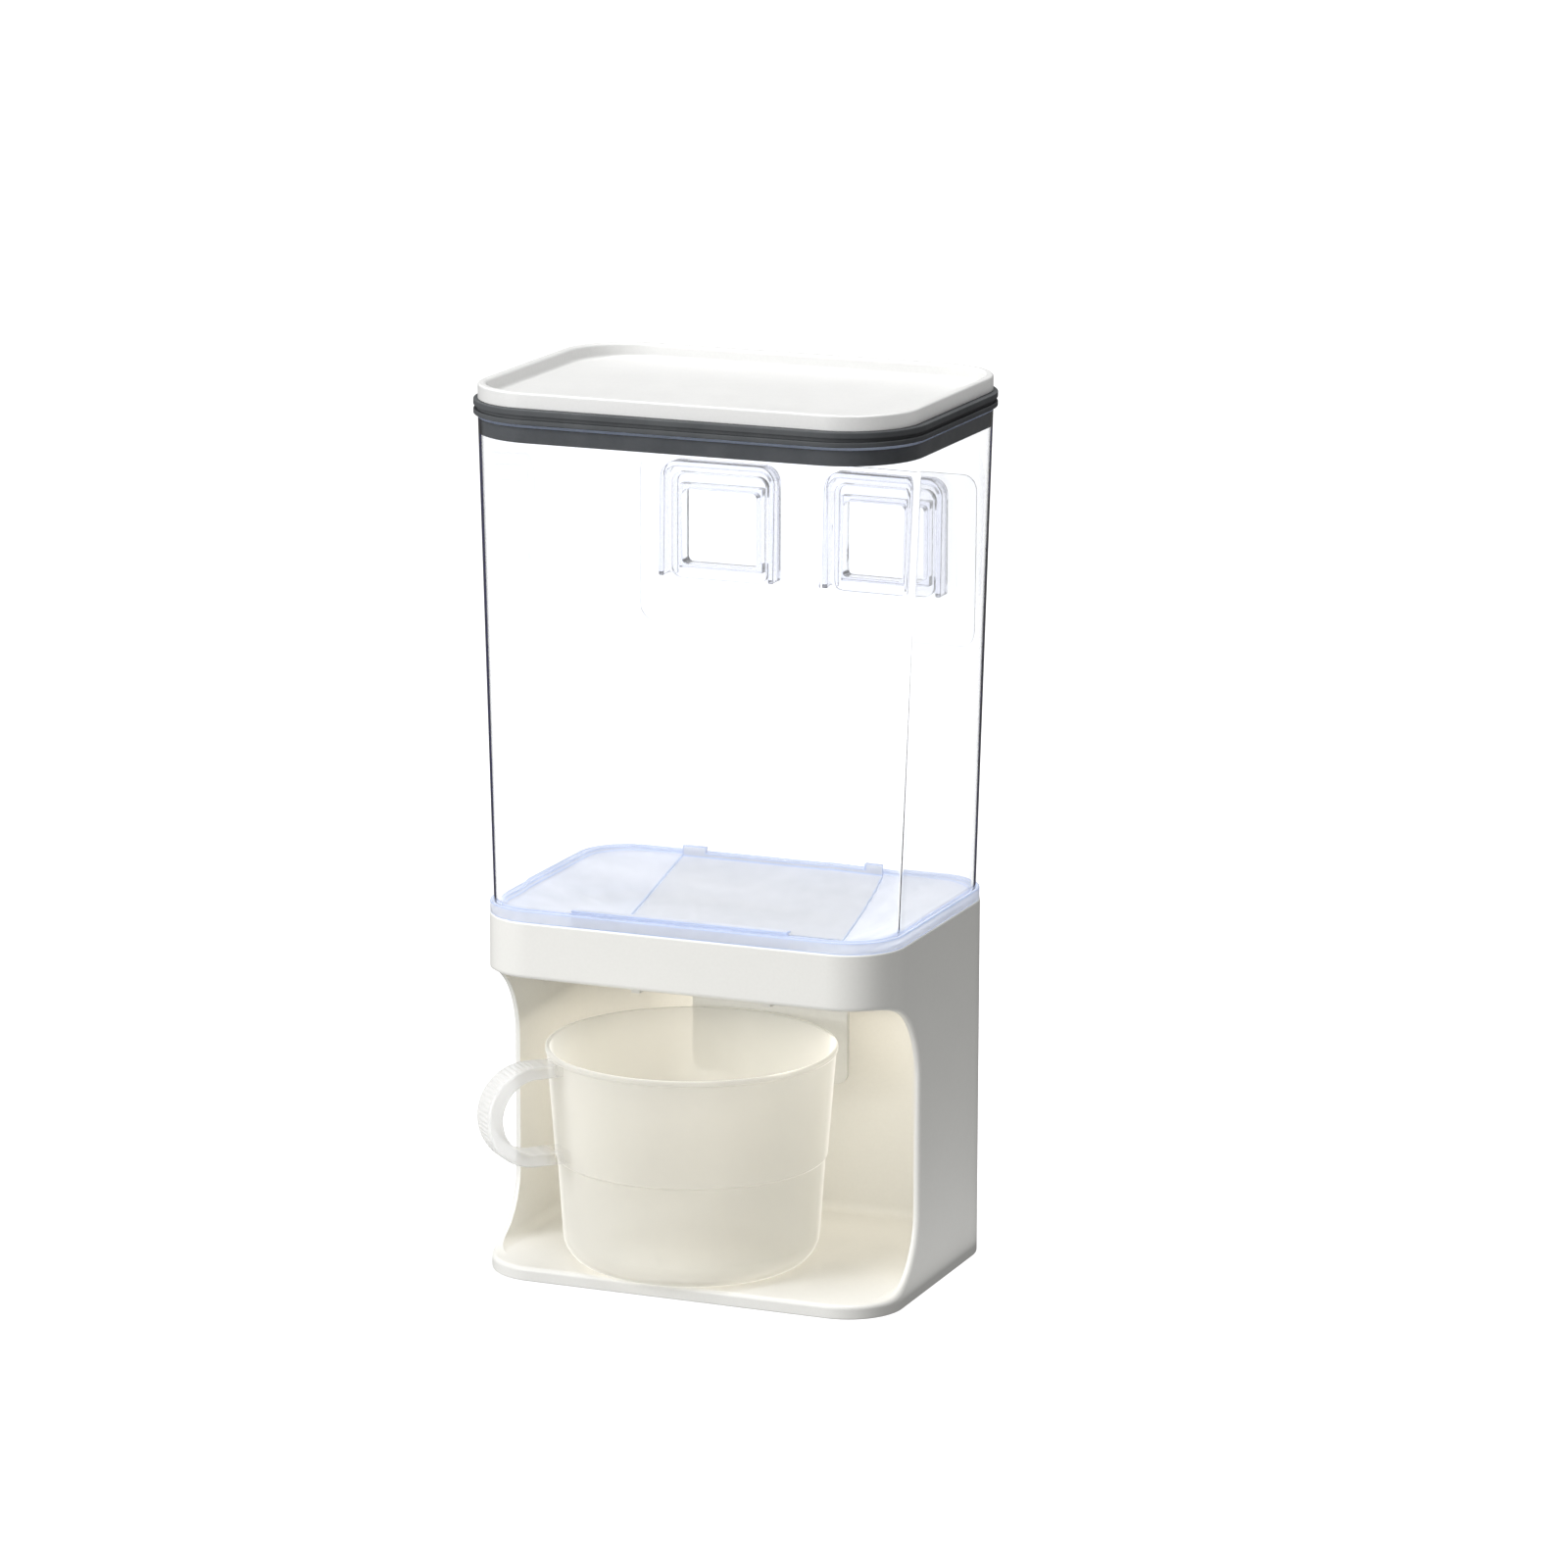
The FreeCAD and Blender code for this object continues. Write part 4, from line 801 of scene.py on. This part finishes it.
# ---- the rest: soft edged copies of CAD nodes, and nodes that stay and are repainted ----
SOFT_EDGES = {
    "inner_deck": ("base", "ivory_plastic", 0.35 * MM),
    "push_lever": ("lever", "grey_white_plastic", 0.45 * MM),
    "gate_pad": ("lever", "pale_silicone", 0.4 * MM),
}
FUNNEL = {"hopper_frame": "hopper", "sluice_insert": "sluice"}
FUNNEL_EDGE, FUNNEL_EDGE_SLOT = 0.45 * MM, 1
STEEL_NODES = ("deck_screws", "lever_pin", "pin_clips", "return_spring")


def make_soft_edged(materials):
    """Soft edged copies. The funnel's edges have a material of their own."""
    for node, (body, slot, width) in SOFT_EDGES.items():
        finish_piece(soft_copy(node, width), body, slot, materials[slot], node)
    for node, inner in FUNNEL.items():
        piece = soft_copy(node, FUNNEL_EDGE, edge_slot=FUNNEL_EDGE_SLOT)
        finish_piece(piece, "container", "clear_plastic", materials[inner], node)
        piece.data.materials.append(materials["hopper_edge"])     # FUNNEL_EDGE_SLOT


def repaint(node, material):
    """Give a CAD node that stays in the picture a better material."""
    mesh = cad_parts[node].data
    mesh.materials.clear()
    mesh.materials.append(material)


def make_materials():
    """Every material by its short name."""
    return {
        "ivory_plastic": moulded_plastic("ivory_plastic", (0.87, 0.865, 0.83), (0.845, 0.84, 0.805),
                                         rough=0.38, grain=0.05, sink=0.12),
        "white_plastic": moulded_plastic("white_plastic", (0.77, 0.77, 0.76), (0.74, 0.74, 0.73),
                                         rough=0.34, grain=0.04, sink=0.08),
        "grey_white_plastic": moulded_plastic("grey_white_plastic", (0.77, 0.77, 0.74), (0.74, 0.74, 0.71),
                                              rough=0.36, grain=0.05),
        "clear_plastic": clear_plastic("clear_plastic", (0.42, 0.50, 0.92), density=42.0),
        # the container's round corners take a painted dark shade where they are seen almost edge on
        "wall": clear_plastic("container_plastic", (0.975, 0.982, 1.0), edge=(0.0, 0.0, 0.002)),
        "wall_rim": clear_plastic("container_rim", (0.8, 0.88, 1.0), milk=0.85, milk_colours=RIM_MILK),
        "wall_inside": clear_plastic("container_inside", (0.975, 0.982, 1.0)),
        "hopper": clear_plastic("hopper_plastic", (0.84, 0.89, 1.0), milk=0.5),
        "sluice": clear_plastic("sluice_plastic", (0.86, 0.88, 0.95), milk=0.55, milk_colours=SLUICE_MILK),
        "hopper_edge": clear_plastic("hopper_edge_plastic", (0.75, 0.83, 1.0),
                                     milk=0.6, milk_colours=EDGE_MILK),
        "clear_film": clear_plastic("clear_film", (0.6, 0.75, 1.0), density=20.0),
        # the cup's thin edges carry a painted highlight made by emission
        "frosted_plastic": frosted_plastic("frosted_plastic", (0.81, 0.82, 0.815), (0.91, 0.89, 0.82),
                                           clear_share=0.64, painted_edge_highlight=0.35),
        "strap": frosted_plastic("strap_plastic", (0.95, 0.95, 0.945), (0.95, 0.95, 0.93),
                                 clear_share=0.57, melt=(cup_place()[0], MELT_NEAR, MELT_FAR)),
        "slate_silicone": rubber("slate_silicone", (0.098, 0.103, 0.108), (0.070, 0.075, 0.080),
                                 rough=0.5, gloss=0.2),
        "pale_silicone": rubber("pale_silicone", (0.72, 0.71, 0.68), (0.66, 0.65, 0.62), rough=0.5),
        "steel": bright_steel("steel"),
    }


# ---- build ----
def build():
    add_camera()
    add_lights()
    add_world()
    add_floor()
    materials = make_materials()
    make_container(materials["wall"], materials["wall_inside"], materials["wall_rim"])
    make_sockets(materials["clear_plastic"])
    make_wall_plate(materials["clear_plastic"], materials["clear_film"])
    make_lid(materials["white_plastic"])
    make_seal(materials["slate_silicone"])
    make_cup(materials["frosted_plastic"])
    make_handle(materials["strap"])
    make_soft_edged(materials)
    repaint("base_housing", materials["ivory_plastic"])
    for node in STEEL_NODES:
        repaint(node, materials["steel"])
    add_fills()


bpy.context.scene.view_settings.view_transform = "Standard"
build()
